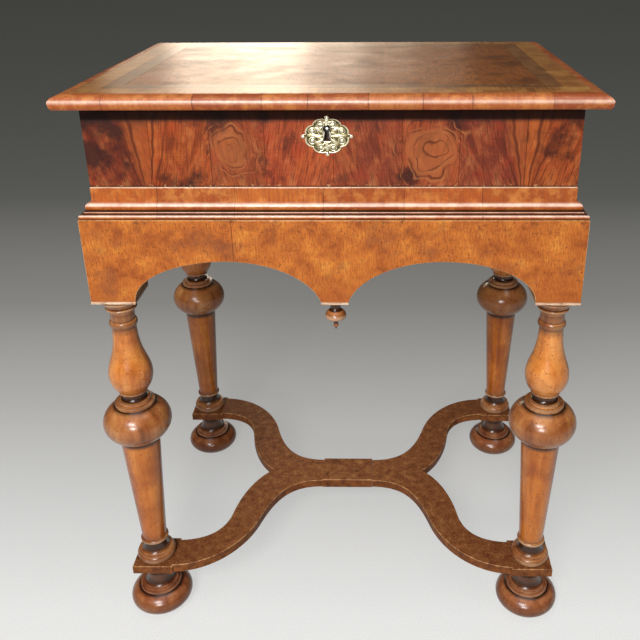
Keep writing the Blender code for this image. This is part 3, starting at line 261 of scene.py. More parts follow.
def turned_walnut(name, tones, ripe, old_polish, worn):
    """Walnut turned on the lathe and waxed for many years: soft streaks about 13 mm wide run up the wood, open
    pores under 1 mm wide show as dark dashes, worm holes 2 mm wide as dots, old polish darkens the rings and
    hollows, the ring edges are worn, and the long members, between the heights in ripe, are rubbed golden."""
    made, tree, shader = begin_material(name, 0.3, 0.42)
    shader.inputs["Specular IOR Level"].default_value = 0.25
    shader.inputs["Coat Roughness"].default_value = 0.2
    place = add(tree, "TexCoord", out="Object")
    height = add(tree, "SeparateXYZ", {0: place}, "Z")
    drawn = add(tree, "Mapping", {"Vector": place, "Scale": (1, 1, 0.09)})
    figure = add(tree, "TexNoise", {
        "Vector": drawn, "Scale": 1 / (13 * MM), "Detail": 5, "Roughness": 0.55, "Distortion": 0.3})
    pores = add(tree, "TexNoise", {"Vector": drawn, "Scale": 1 / (0.9 * MM), "Detail": 2, "Roughness": 0.5})
    blotches = add(tree, "TexNoise", {"Vector": place, "Scale": 1 / (38 * MM), "Detail": 3, "Roughness": 0.55})
    colour = add(tree, "ValToRGB", {"Fac": figure}, stops=list(zip(STREAKS, tones)))
    for low, high, ripe_tones in ripe:
        golden = add(tree, "ValToRGB", {"Fac": figure}, stops=list(zip(STREAKS, ripe_tones)))
        over = add(tree, "MapRange", {0: height, 1: low, 2: low + RIPE_FADE})
        under = add(tree, "MapRange", {0: height, 1: high, 2: high - RIPE_FADE})
        between = add(tree, "Math", {0: over, 1: under}, operation="MULTIPLY")
        colour = add(tree, "Mix", {0: between, 6: colour, 7: golden}, 2, data_type="RGBA")
    shaded = add(tree, "ValToRGB", {"Fac": blotches}, stops=[(0.34, "#D2BDB0"), (0.60, "#FFFFFF")])
    colour = add(tree, "Mix", {0: 0.9, 6: colour, 7: shaded}, 2, data_type="RGBA", blend_type="MULTIPLY")
    dashes = add(tree, "MapRange", {0: pores, 1: 0.56, 2: 0.70, 4: 0.5})
    holes = add(tree, "TexVoronoi", {"Vector": place, "Scale": 1 / (7 * MM)})
    holes = add(tree, "MapRange", {0: holes, 1: 0.19, 2: 0.10, 4: 0.75})
    marks = add(tree, "Math", {0: dashes, 1: holes}, operation="MAXIMUM")
    colour = add(tree, "Mix", {0: marks, 6: colour, 7: linear(tones[0])}, 2, data_type="RGBA")
    relief = add(tree, "Attribute", out="Fac", attribute_name="relief")
    ringed = add(tree, "Math", {0: relief}, operation="ABSOLUTE")
    wear_and_painted_highlight = add(tree, "Math", {0: blotches, 1: 0.9, 2: relief}, operation="MULTIPLY_ADD")
    colour = laid_over(tree, colour, [
        (ringed, 0.12, 0.4, 0.6, "#5E341A"),
        (relief, -0.05, -0.34, 0.9, old_polish),
        (wear_and_painted_highlight, 0.86, 1.3, 0.5, worn)])
    tree.links.new(colour, shader.inputs["Base Color"])
    gloss = add(tree, "MapRange", {0: figure, 1: 0.3, 2: 0.7, 3: 0.34, 4: 0.22})
    tree.links.new(gloss, shader.inputs["Roughness"])
    pressed = add(tree, "Bump", {"Strength": 0.25, "Distance": 0.1 * MM, "Height": marks}, invert=True)
    tree.links.new(pressed, shader.inputs["Normal"])
    return made


FOOT_RUNS = [
    plain(FOOT_TOP_RADIUS, FOOT_COVE * 0.08),
    cove(FOOT_TOP_RADIUS, FOOT_NECK_RADIUS, FOOT_COVE * 0.42),
    cove(FOOT_NECK_RADIUS, BUN_RADIUS * 0.56, FOOT_COVE * 0.5),
    plain(BUN_RADIUS * 0.59, FINE_RING),
    plain(BUN_RADIUS * 0.67, FINE_RING),
    bun(BUN_RADIUS, BUN_HALF, BUN_ABOVE, BUN_BELOW)]
foot_pattern = turned("foot_pattern", stacked(FOOT_RUNS, foot_high.z))
FOOT_TONES = ["#4E2410", "#985936", "#BC7E52"]
feet_walnut = turned_walnut("waxed_walnut_of_the_feet", FOOT_TONES, [], "#140804", "#DDB894")
for corner in CORNERS:
    foot = copied(foot_pattern, "bun_foot_" + corner, standing_place("foot_" + corner))
    foot.data.materials.append(feet_walnut)
    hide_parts("foot_" + corner)
    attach(foot, "stand")
bpy.data.objects.remove(foot_pattern)

# Flat X-shaped stretcher between legs and feet. Four serpentine arms are sawn from walnut board, each with a
# square block under its leg at one end, and are tenoned at the other into a small oblong centre block.
arm_low, arm_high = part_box("stretcher_arm_front_left")
centre_low, centre_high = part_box("stretcher_centre")
LEG_X = standing_place("leg_front_right")[0]
LEG_Y = -standing_place("leg_front_right")[1]
STRETCHER_BLOCK = 57 * MM
ARM_HALF = 25 * MM
ARM_GAP = 0.3 * MM
BOARD_WEAR = 0.9 * MM
TOUCH = 0.1 * MM


def drawn_out(name, points, stretch, smooth):
    """Traces a closed outline point by point, fills it and draws it out to a solid."""
    piece = start_from_a_point(name, points[0])
    for here, after in zip(points, points[1:] + points[:1]):
        step = Vector(after) - Vector(here)
        bpy.ops.mesh.extrude_vertices_move(TRANSFORM_OT_translate={"value": step})
    bpy.ops.mesh.select_all(action="SELECT")
    bpy.ops.mesh.remove_doubles(threshold=0.01 * MM)
    bpy.ops.mesh.edge_face_add()
    bpy.ops.mesh.extrude_region_move(TRANSFORM_OT_translate={"value": stretch})
    settle(smooth)
    return piece


def choose_edges(piece, chosen):
    """Goes into edit mode with only those edges selected whose two ends are chosen."""
    bpy.context.view_layer.objects.active = piece
    bpy.ops.object.mode_set(mode="EDIT")
    bpy.ops.mesh.select_mode(type="EDGE")
    bpy.ops.mesh.select_all(action="DESELECT")
    bpy.ops.object.mode_set(mode="OBJECT")
    for edge in piece.data.edges:
        edge.select = chosen(*(piece.data.vertices[number].co for number in edge.vertices))
    bpy.ops.object.mode_set(mode="EDIT")


def worn_edges(piece, width, axis, chosen):
    """Bevels the chosen edges, and marks the new faces, aslant to the board's axis, as arris."""
    choose_edges(piece, chosen)
    bpy.ops.mesh.bevel(offset=width, segments=2, affect="EDGES", profile=0.5)
    bpy.ops.object.mode_set(mode="OBJECT")
    arris = piece.data.attributes.new("arris", "FLOAT", "FACE")
    for spot, face in zip(arris.data, piece.data.polygons):
        spot.value = 1.0 if 0.1 < abs(face.normal[axis]) < 0.97 else 0.0


# Walnut board, waxed on top and dusted for centuries: mottles 5 to 14 mm across, near-black and pale
# specks, darker where the board faces sideways, and arrises rubbed here and there to pale wood.
stretcher_walnut, tree, shader = begin_material("mottled_walnut_board", 0.5, 0.0)
shader.inputs["Specular IOR Level"].default_value = 0.2
place = add(tree, "TexCoord", out="Object")
mottle = add(tree, "TexNoise", {
    "Vector": place, "Scale": 1 / (13 * MM), "Detail": 8, "Roughness": 0.76, "Distortion": 0.2})
speck = add(tree, "TexNoise", {"Vector": place, "Scale": 1 / (2.4 * MM), "Detail": 3, "Roughness": 0.6})
aside = add(tree, "SeparateXYZ", {0: place}, "X")
aside = add(tree, "Math", {0: aside}, operation="ABSOLUTE")
colour = add(tree, "ValToRGB", {"Fac": mottle},
             stops=[(0.30, "#4E2812"), (0.44, "#824A28"), (0.56, "#9E643A"), (0.70, "#C08A50")])
colour = laid_over(tree, colour, [
    (aside, 70 * MM, 230 * MM, 0.55, "#562A14"),
    (speck, 0.42, 0.32, 0.55, "#BE8C50"),
    (speck, 0.58, 0.70, 0.6, "#220E08")])
facing = add(tree, "TexCoord", out="Normal")
upward = add(tree, "SeparateXYZ", {0: facing}, "Z")
facing_sideways = add(tree, "MapRange", {0: upward, 1: 0.75, 2: 0.25})
edge_colour = add(tree, "ValToRGB", {"Fac": mottle}, stops=[(0.35, "#4A2410"), (0.62, "#8C5228")])
colour = add(tree, "Mix", {0: facing_sideways, 6: colour, 7: edge_colour}, 2, data_type="RGBA")
arris = add(tree, "Attribute", out="Fac", attribute_name="arris")
patchy = add(tree, "MapRange", {0: mottle, 1: 0.42, 2: 0.60, 3: 0.08, 4: 0.75})
wear_and_painted_highlight = add(tree, "Math", {0: arris, 1: patchy}, operation="MULTIPLY")
colour = add(tree, "Mix", {0: wear_and_painted_highlight, 6: colour, 7: linear("#CFA06C")}, 2, data_type="RGBA")
tree.links.new(colour, shader.inputs["Base Color"])
pressed = add(tree, "Bump", {"Strength": 0.2, "Distance": 0.2 * MM, "Height": mottle})
tree.links.new(pressed, shader.inputs["Normal"])

inner = LEG_X - STRETCHER_BLOCK / 2
outer = LEG_X + STRETCHER_BLOCK / 2
root = centre_high.x + ARM_GAP
half_gap = ARM_GAP / 2
waist = centre_high.y - 1 * MM
arm_outline = [(outer, LEG_Y + STRETCHER_BLOCK / 2), (inner, LEG_Y + STRETCHER_BLOCK / 2)]
arm_outline += sweep((inner, LEG_Y + ARM_HALF), (0.67 * LEG_X, LEG_Y + ARM_HALF - 3 * MM),
                     (0.532 * LEG_X, 0.852 * LEG_Y), (0.485 * LEG_X, 0.624 * LEG_Y), count=18)
arm_outline += sweep((0.485 * LEG_X, 0.624 * LEG_Y), (0.418 * LEG_X, 0.294 * LEG_Y),
                     (0.337 * LEG_X, waist), (root, waist), count=18)[1:]
arm_outline += [(root, half_gap)]
arm_outline += sweep((0.459 * LEG_X, half_gap), (0.548 * LEG_X, 0.095 * LEG_Y),
                     (0.618 * LEG_X, 0.304 * LEG_Y), (0.644 * LEG_X, 0.556 * LEG_Y), count=18)
arm_outline += sweep((0.644 * LEG_X, 0.556 * LEG_Y), (0.663 * LEG_X, 0.739 * LEG_Y),
                     (0.733 * LEG_X, LEG_Y - ARM_HALF - 2 * MM), (inner, LEG_Y - ARM_HALF), count=18)[1:]
arm_outline += [(inner, LEG_Y - STRETCHER_BLOCK / 2), (outer, LEG_Y - STRETCHER_BLOCK / 2)]


def on_an_open_edge(start, end):
    at_a_joint = max(start.y, end.y) < 1 * MM or max(start.x, end.x) < root + TOUCH
    return abs(start.z - end.z) < TOUCH and not at_a_joint


arm_points = [(across, along, arm_low.z) for across, along in arm_outline]
arm_pattern = drawn_out("arm_pattern", arm_points, (0, 0, arm_high.z - arm_low.z), 40)
worn_edges(arm_pattern, BOARD_WEAR, 2, on_an_open_edge)
for corner in CORNERS:
    flip = (-1 if "left" in corner else 1, -1 if "front" in corner else 1, 1)
    arm = copied(arm_pattern, "serpentine_arm_" + corner, (0, 0, 0), flip)
    arm.data.materials.append(stretcher_walnut)
    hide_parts("stretcher_arm_" + corner)
    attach(arm, "stand")
bpy.data.objects.remove(arm_pattern)

block_points = [(centre_low.x, centre_low.y, centre_low.z), (centre_high.x, centre_low.y, centre_low.z),
                (centre_high.x, centre_high.y, centre_low.z), (centre_low.x, centre_high.y, centre_low.z)]
centre_block = drawn_out("stretcher_centre_block", block_points, (0, 0, centre_high.z - centre_low.z), 40)
worn_edges(centre_block, BOARD_WEAR, 2, lambda start, end: abs(start.y - end.y) + abs(start.z - end.z) < TOUCH)
centre_block.data.materials.append(stretcher_walnut)
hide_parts("stretcher_centre")
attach(centre_block, "stand")

# Four turned legs. From the top: flared capital, fine ring, pear, collar, two steps, a big flattened ball,
# tapered shaft, ring, flare and base ring, all from one length of walnut with a dowel at each end.
JOINT = 0.3 * MM
LEG_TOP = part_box("leg_pad_front_left")[0].z - JOINT
LEG_FOOT = arm_high.z + JOINT
CAPITAL_RADIUS = 25.5 * MM
CAPITAL_HEIGHT = 25 * MM
NECK_RADIUS = 15.3 * MM
NECK_HEIGHT = 8.5 * MM
RING_RADIUS = 17.7 * MM
RING_HEIGHT = 9 * MM
PEAR_RADIUS = 28.3 * MM
PEAR_HEIGHT = 93.5 * MM
COLLAR_RADIUS = 18.6 * MM
COLLAR_HEIGHT = 15 * MM
STEP_RADIUS = 26 * MM
STEP_HEIGHT = 8 * MM
BALL_RADIUS = 44.8 * MM
BALL_HEIGHT = 52.5 * MM
SHAFT_TOP_RADIUS = 26.2 * MM
SHAFT_LOW_RADIUS = 16.8 * MM
BASE_RADIUS = 27 * MM
BASE_HEIGHT = 35.5 * MM
PEAR_RISE = PEAR_HEIGHT * 0.765
PEAR_FALL = PEAR_HEIGHT - PEAR_RISE
BALL_HALF = BALL_HEIGHT * 0.6286
BALL_ABOVE = BALL_HEIGHT * 0.514
ABOVE_THE_PEAR = CAPITAL_HEIGHT + NECK_HEIGHT + RING_HEIGHT
ABOVE_THE_SHAFT = ABOVE_THE_PEAR + PEAR_HEIGHT + COLLAR_HEIGHT + STEP_HEIGHT + BALL_HEIGHT
SHAFT_HEIGHT = LEG_TOP - LEG_FOOT - ABOVE_THE_SHAFT - BASE_HEIGHT
LEG_RUNS = [
    plain(CAPITAL_RADIUS, CAPITAL_HEIGHT * 0.1),
    plain(CAPITAL_RADIUS * 0.9, CAPITAL_HEIGHT * 0.06),
    sweep((CAPITAL_RADIUS * 0.96, 0), (CAPITAL_RADIUS * 0.95, CAPITAL_HEIGHT * 0.2),
          (NECK_RADIUS * 1.3, CAPITAL_HEIGHT * 0.26), (NECK_RADIUS * 1.2, CAPITAL_HEIGHT * 0.42)),
    bead(NECK_RADIUS * 1.1, NECK_RADIUS * 1.28, CAPITAL_HEIGHT * 0.14),
    sweep((NECK_RADIUS * 1.1, 0), (NECK_RADIUS * 1.05, CAPITAL_HEIGHT * 0.1),
          (NECK_RADIUS, CAPITAL_HEIGHT * 0.2), (NECK_RADIUS, CAPITAL_HEIGHT * 0.28)),
    plain(NECK_RADIUS, NECK_HEIGHT),
    bead(NECK_RADIUS, RING_RADIUS, RING_HEIGHT),
    sweep((NECK_RADIUS, 0), (NECK_RADIUS, PEAR_RISE * 0.62),
          (PEAR_RADIUS, PEAR_RISE * 0.70), (PEAR_RADIUS, PEAR_RISE)),
    sweep((PEAR_RADIUS, 0), (PEAR_RADIUS, PEAR_FALL * 0.43),
          (PEAR_RADIUS * 0.833, PEAR_FALL * 0.80), (PEAR_RADIUS * 0.72, PEAR_FALL)),
    plain(COLLAR_RADIUS, COLLAR_HEIGHT * 0.3),
    cove(COLLAR_RADIUS * 0.86, COLLAR_RADIUS * 0.75, COLLAR_HEIGHT * 0.3),
    cove(COLLAR_RADIUS * 0.75, STEP_RADIUS * 0.73, COLLAR_HEIGHT * 0.4),
    plain(STEP_RADIUS * 0.82, STEP_HEIGHT * 0.5),
    plain(STEP_RADIUS, STEP_HEIGHT * 0.5),
    bun(BALL_RADIUS, BALL_HALF, BALL_ABOVE, BALL_HEIGHT - BALL_ABOVE),
    [(SHAFT_TOP_RADIUS, 0), (SHAFT_LOW_RADIUS, SHAFT_HEIGHT)],
    bead(SHAFT_LOW_RADIUS, SHAFT_LOW_RADIUS * 1.16, BASE_HEIGHT * 0.163),
    cove(SHAFT_LOW_RADIUS * 0.94, BASE_RADIUS * 0.85, BASE_HEIGHT * 0.465),
    plain(BASE_RADIUS * 0.9, BASE_HEIGHT * 0.047),
    bead(BASE_RADIUS * 0.87, BASE_RADIUS, BASE_HEIGHT * 0.325)]
leg_pattern = turned("leg_pattern", stacked(LEG_RUNS, LEG_TOP))
pear_top = LEG_TOP - ABOVE_THE_PEAR
shaft_top = LEG_TOP - ABOVE_THE_SHAFT
LONG_MEMBERS = [(pear_top - PEAR_HEIGHT, pear_top, ["#944A18", "#D2803A", "#EAA45C"])]
LONG_MEMBERS += [(shaft_top - SHAFT_HEIGHT, shaft_top, ["#7E3C10", "#BE6A22", "#DA8A3C"])]
LEG_TONES = ["#60341A", "#B06E3E", "#D09458"]
leg_walnut = turned_walnut("waxed_walnut_of_the_legs", LEG_TONES, LONG_MEMBERS, "#200E06", "#DDB68E")
for corner in CORNERS:
    leg = copied(leg_pattern, "turned_leg_" + corner, standing_place("leg_" + corner))
    leg.data.materials.append(leg_walnut)
    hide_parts("leg_" + corner)
    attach(leg, "stand")
bpy.data.objects.remove(leg_pattern)


# Thin square pads glued over each leg and under the middle drop of the front. Each is a slip of pale fruitwood
# planed flat, its edges rubbed clean.
def paint(material, *nodes):
    """Gives CAD pieces whose shape is right a material of their own."""
    for node in nodes:
        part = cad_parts[node]
        part.data.materials.clear()
        part.data.materials.append(material)


# Fruitwood, planed and rubbed: even and pale, with fine grain 1.5 mm apart and a little dirt.
pale_wood, tree, shader = begin_material("rubbed_pale_fruitwood", 0.42, 0.15)
place = add(tree, "TexCoord", out="Object")
drawn = add(tree, "Mapping", {"Vector": place, "Scale": (0.08, 1, 1)})
grain = add(tree, "TexNoise", {"Vector": drawn, "Scale": 1 / (1.5 * MM), "Detail": 4})
dirt = add(tree, "TexNoise", {"Vector": place, "Scale": 1 / (9 * MM), "Detail": 4})
colour = add(tree, "ValToRGB", {"Fac": grain}, stops=[(0.3, "#B88664"), (0.65, "#E6C8AC")])
colour = laid_over(tree, colour, [(dirt, 0.54, 0.70, 0.6, "#6B4326")])
tree.links.new(colour, shader.inputs["Base Color"])
paint(pale_wood, "drop_pad", *("leg_pad_" + corner for corner in CORNERS))

# Turned finial under the middle drop: a small cap, a round bulge, a thin stem, a bead and a tip, in walnut,
# with a dowel up through the pad into the front rail.
FINIAL_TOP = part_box("drop_pad")[0].z - JOINT
FINIAL_LENGTH = FINIAL_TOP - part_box("drop_finial")[0].z
FINIAL_RADIUS = 13.2 * MM
TIP_RADIUS = FINIAL_RADIUS * 0.22
FINIAL_RUNS = [
    plain(FINIAL_RADIUS * 0.80, FINIAL_LENGTH * 0.05),
    cove(FINIAL_RADIUS * 0.76, FINIAL_RADIUS * 0.46, FINIAL_LENGTH * 0.17),
    sweep((FINIAL_RADIUS * 0.46, 0), (FINIAL_RADIUS * 0.5, FINIAL_LENGTH * 0.12),
          (FINIAL_RADIUS, FINIAL_LENGTH * 0.16), (FINIAL_RADIUS, FINIAL_LENGTH * 0.30)),
    sweep((FINIAL_RADIUS, 0), (FINIAL_RADIUS, FINIAL_LENGTH * 0.10),
          (FINIAL_RADIUS * 0.6, FINIAL_LENGTH * 0.15), (TIP_RADIUS, FINIAL_LENGTH * 0.17)),
    plain(TIP_RADIUS, FINIAL_LENGTH * 0.14),
    bead(TIP_RADIUS * 0.9, TIP_RADIUS * 1.15, FINIAL_LENGTH * 0.08),
    cove(TIP_RADIUS * 0.9, TIP_RADIUS * 0.4, FINIAL_LENGTH * 0.09)]
finial_pattern = turned("finial_pattern", stacked(FINIAL_RUNS, FINIAL_TOP))
finial = copied(finial_pattern, "turned_drop_finial", standing_place("drop_finial"))
finial.data.materials.append(leg_walnut)
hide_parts("drop_finial")
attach(finial, "stand")
bpy.data.objects.remove(finial_pattern)


# Carcass of the stand: corner posts, front, side and back rails tenoned into them, and a plain rail across the
# back of the top. All are deal, sawn and planed, left bare where no veneer covers them.
def bare_deal(name, stretch):
    """Old pine board, planed and unpolished: darker summer rings 7 mm apart along the board, fibres 0.9 mm
    wide, a brown bloom of age and dust."""
    pale = "#B58A58"
    dark = "#8C6238"
    made, tree, shader = begin_material(name, 0.62, 0.0)
    place = add(tree, "TexCoord", out="Object")
    drawn = add(tree, "Mapping", {"Vector": place, "Scale": stretch})
    rings = add(tree, "TexNoise", {
        "Vector": drawn, "Scale": 1 / (7 * MM), "Detail": 4, "Roughness": 0.62, "Distortion": 0.5})
    fibres = add(tree, "TexNoise", {"Vector": drawn, "Scale": 1 / (0.9 * MM), "Detail": 2})
    age = add(tree, "TexNoise", {"Vector": place, "Scale": 1 / (60 * MM), "Detail": 5})
    colour = add(tree, "ValToRGB", {"Fac": rings},
                 stops=[(0.32, dark), (0.47, pale), (0.56, dark), (0.66, pale)])
    colour = laid_over(tree, colour, [(fibres, 0.45, 0.75, 0.4, dark), (age, 0.42, 0.66, 0.6, "#5A3C24")])
    tree.links.new(colour, shader.inputs["Base Color"])
    raised = add(tree, "Bump", {"Strength": 0.35, "Distance": 0.15 * MM, "Height": fibres})
    tree.links.new(raised, shader.inputs["Normal"])
    return made


upright_deal = bare_deal("upright_bare_deal", (1, 1, 0.035))
wide_deal = bare_deal("wide_bare_deal", (0.035, 1, 1))
deep_deal = bare_deal("deep_bare_deal", (1, 0.035, 1))
paint(upright_deal, *("corner_post_" + corner for corner in CORNERS))
paint(wide_deal, "apron_front", "apron_back", "stand_top_rail_back")
paint(deep_deal, "apron_left", "apron_right")

# Veneer over the front and sides of the stand: golden walnut laid in sheets, rising in two arches at the front
# and one at each side. It is sawn veneer glued to the deal and waxed.
veneer_low, veneer_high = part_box("frieze_veneer_front")
side_low, side_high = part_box("frieze_veneer_left")
ARCH_RISE = 53.5 * MM
ARCH_OUT = 243.2 * MM
DROP_HALF = 16.7 * MM
DROP_SLOPE = math.radians(77.6)
SIDE_ARCH_OUT = 162.2 * MM
VENEER_WEAR = 0.6 * MM


def hairlines(tree, run, joints, half):
    """1 on the joints along a run, falling to 0 at half a line's width from them."""
    mask = 0.0
    for joint in joints:
        away = add(tree, "Math", {0: run, 1: joint * MM}, operation="SUBTRACT")
        away = add(tree, "Math", {0: away}, operation="ABSOLUTE")
        near = add(tree, "MapRange", {0: away, 1: half, 2: 0.3 * half})
        mask = add(tree, "Math", {0: near, 1: mask}, operation="MAXIMUM")
    return mask


def golden_veneer(name, across, seams):
    """Golden walnut veneer near the root: soft mottles 36 mm across, short grain 1.5 mm wide lying aslant, dark
    flecks, stains and worm holes, redder wood low down, dark smears under the moulding, and a dark line where
    two sheets meet."""
    made, tree, shader = begin_material(name, 0.34, 0.08)
    shader.inputs["Specular IOR Level"].default_value = 0.25
    place = add(tree, "TexCoord", out="Object")
    axes = add(tree, "SeparateXYZ", {0: place}).node.outputs
    flat = add(tree, "CombineXYZ", {0: axes[across], 1: axes["Z"]})
    slant = add(tree, "Mapping", {"Vector": flat, "Rotation": (0, 0, math.radians(32)), "Scale": (1, 0.16, 1)})
    mottle = add(tree, "TexNoise", {
        "Vector": flat, "Scale": 1 / (36 * MM), "Detail": 7, "Roughness": 0.66, "Distortion": 0.2})
    grain = add(tree, "TexNoise", {"Vector": slant, "Scale": 1 / (1.5 * MM), "Detail": 3, "Roughness": 0.6})
    fleck = add(tree, "TexNoise", {"Vector": flat, "Scale": 1 / (2.6 * MM), "Detail": 2, "Roughness": 0.5})
    stain = add(tree, "TexNoise", {"Vector": flat, "Scale": 1 / (52 * MM), "Detail": 4, "Roughness": 0.6})
    smear = add(tree, "TexNoise", {"Vector": flat, "Scale": 1 / (15 * MM), "Detail": 6, "Roughness": 0.75})
    colour = add(tree, "ValToRGB", {"Fac": mottle},
                 stops=[(0.30, "#7E3C14"), (0.43, "#AC5C22"), (0.56, "#C06E2A"), (0.68, "#D68A38")])
    short = add(tree, "MapRange", {0: grain, 1: 0.44, 2: 0.66, 4: 0.6})
    colour = add(tree, "Mix", {0: short, 6: colour, 7: linear("#7C3A12")}, 2, data_type="RGBA")
    holes = add(tree, "TexVoronoi", {"Vector": place, "Scale": 1 / (8 * MM)})
    holes = add(tree, "MapRange", {0: holes, 1: 0.16, 2: 0.08, 4: 0.7})
    dots = add(tree, "MapRange", {0: fleck, 1: 0.61, 2: 0.70, 4: 0.6})
    dots = add(tree, "Math", {0: dots, 1: holes}, operation="MAXIMUM")
    colour = add(tree, "Mix", {0: dots, 6: colour, 7: linear("#4A230E")}, 2, data_type="RGBA")
    colour = laid_over(tree, colour, [
        (stain, 0.54, 0.72, 0.7, "#6E4028"),
        (axes["Z"], veneer_low.z + 38 * MM, veneer_low.z, 0.45, "#9C4E1D")])
    line = hairlines(tree, axes[across], seams, 0.6 * MM)
    colour = add(tree, "Mix", {0: line, 6: colour, 7: linear("#5C2A10")}, 2, data_type="RGBA")
    arris = add(tree, "Attribute", out="Fac", attribute_name="arris")
    patchy = add(tree, "MapRange", {0: fleck, 1: 0.38, 2: 0.60, 3: 0.3, 4: 0.95})
    wear_and_painted_highlight = add(tree, "Math", {0: arris, 1: patchy}, operation="MULTIPLY")
    colour = add(tree, "Mix", {0: wear_and_painted_highlight, 6: colour, 7: linear("#D8A672")}, 2, data_type="RGBA")
    smear = add(tree, "MapRange", {0: smear, 1: 0.53, 2: 0.66, 4: 0.7})
    high = add(tree, "MapRange", {0: axes["Z"], 1: veneer_low.z + 72 * MM, 2: veneer_low.z + 104 * MM})
    smear = add(tree, "Math", {0: smear, 1: high}, operation="MULTIPLY")
    colour = add(tree, "Mix", {0: smear, 6: colour, 7: linear("#4A2818")}, 2, data_type="RGBA")
    tree.links.new(colour, shader.inputs["Base Color"])
    gloss = add(tree, "MapRange", {0: mottle, 1: 0.3, 2: 0.7, 3: 0.42, 4: 0.28})
    tree.links.new(gloss, shader.inputs["Roughness"])
    pressed = add(tree, "Bump", {"Strength": 0.15, "Distance": 0.1 * MM, "Height": short}, invert=True)
    tree.links.new(pressed, shader.inputs["Normal"])
    return made


arch_middle = (ARCH_OUT + DROP_HALF) / 2
arch_half = (ARCH_OUT - DROP_HALF) / 2
outward = [math.pi / 2 * step / 22 for step in range(23)]
inward = [DROP_SLOPE * step / 22 for step in range(23)]
arch = [(arch_middle + arch_half * math.cos(a), ARCH_RISE * math.sin(a)) for a in outward]
for turn in inward[1:]:
    rise = ARCH_RISE - ARCH_RISE * (1 - math.cos(turn)) / (1 - math.cos(DROP_SLOPE))
    arch.append((arch_middle - arch_half * math.sin(turn) / math.sin(DROP_SLOPE), rise))
front_outline = [(veneer_high.x, veneer_high.z), (veneer_high.x, veneer_low.z)]
front_outline += [(across, veneer_low.z + rise) for across, rise in arch]
front_outline += [(-across, veneer_low.z + rise) for across, rise in arch[::-1]]
front_outline += [(veneer_low.x, veneer_low.z), (veneer_low.x, veneer_high.z)]
front_points = [(across, veneer_low.y, tall) for across, tall in front_outline]
front_veneer = drawn_out("golden_veneer_front", front_points, (0, veneer_high.y - veneer_low.y, 0), 30)
worn_edges(front_veneer, VENEER_WEAR, 1, lambda start, end: max(start.y, end.y) < veneer_low.y + TOUCH)
front_veneer.data.materials.append(golden_veneer("golden_walnut_veneer_front", "X", [-119]))
side_turns = [math.pi * step / 40 for step in range(41)]
side_outline = [(side_high.y, side_high.z), (side_high.y, side_low.z)]
side_outline += [(SIDE_ARCH_OUT * math.cos(a), side_low.z + ARCH_RISE * math.sin(a)) for a in side_turns]
side_outline += [(side_low.y, side_low.z), (side_low.y, side_high.z)]
side_points = [(side_low.x, along, tall) for along, tall in side_outline]
left_veneer = drawn_out("golden_veneer_left", side_points, (side_high.x - side_low.x, 0, 0), 30)
worn_edges(left_veneer, VENEER_WEAR, 0, lambda start, end: max(start.x, end.x) < side_low.x + TOUCH)
left_veneer.data.materials.append(golden_veneer("golden_walnut_veneer_sides", "Y", [-36, 88]))
right_veneer = copied(left_veneer, "golden_veneer_right", (0, 0, 0), (-1, 1, 1))
for side, sheet in (("front", front_veneer), ("left", left_veneer), ("right", right_veneer)):
    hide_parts("frieze_veneer_" + side)
    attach(sheet, "stand")

# Reeded moulding round the front and sides of the stand's top, which keeps the box in place: two round reeds
# with a bead between, under a plain slope. Short cross-grain walnut pieces are glued to a strip and scraped.
moulding_low, moulding_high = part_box("stand_moulding_front")
STAND_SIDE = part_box("frieze_veneer_right")[1].x
MOULDING_HEIGHT = moulding_high.z - moulding_low.z
MOULDING_DEPTH = 27 * MM
MOULDING_STEP = 14.5 * MM
REEDS = 17.6 * MM
MITRE_GAP = 0.05 * MM
REACH = 400 * MM


def reed(depth, level, radius, first, last):
    turns = [math.radians(first + (last - first) * step / 20) for step in range(21)]
    return [(depth - radius * math.cos(a), level + radius * math.sin(a)) for a in turns]


def cut_back(piece, point, facing):
    """Saws an end off through a point, at a right angle to facing, and closes the cut."""
    bpy.ops.object.select_all(action="DESELECT")
    piece.select_set(True)
    bpy.context.view_layer.objects.active = piece
    bpy.ops.object.mode_set(mode="EDIT")
    bpy.ops.mesh.select_all(action="SELECT")
    bpy.ops.mesh.bisect(plane_co=point, plane_no=facing, use_fill=True, clear_outer=True)
    settle(20)


def mitred_round(name, profile, aside, front, foot, back):
    """Sticks of a moulding along the front and down both sides, mitred at the front corners."""
    points = [(-aside, front + depth, foot + level) for depth, level in profile]
    front_stick = drawn_out(name + "_front", points, (2 * aside, 0, 0), 20)
    cut_back(front_stick, (aside - MITRE_GAP, front, 0), (1, 1, 0))
    cut_back(front_stick, (MITRE_GAP - aside, front, 0), (-1, 1, 0))
    points = [(-aside + depth, front, foot + level) for depth, level in profile]
    left_stick = drawn_out(name + "_left", points, (0, back - front, 0), 20)
    cut_back(left_stick, (-aside, front + MITRE_GAP, 0), (1, -1, 0))
    right_stick = copied(left_stick, name + "_right", (0, 0, 0), (-1, 1, 1))
    return {"front": front_stick, "left": left_stick, "right": right_stick}


def share_of_the_run(joint):
    """Where a joint lies between the two ends of the colour ramps that run along a piece."""
    return (joint * MM + REACH) / (2 * REACH)


def stepped(joints):
    """A colour ramp holds 256 steps, so a change of tone comes at the next of them, and its joint with it."""
    return [(math.ceil(share_of_the_run(joint) * 255) / 255 * 2 - 1) * REACH / MM for joint in joints]


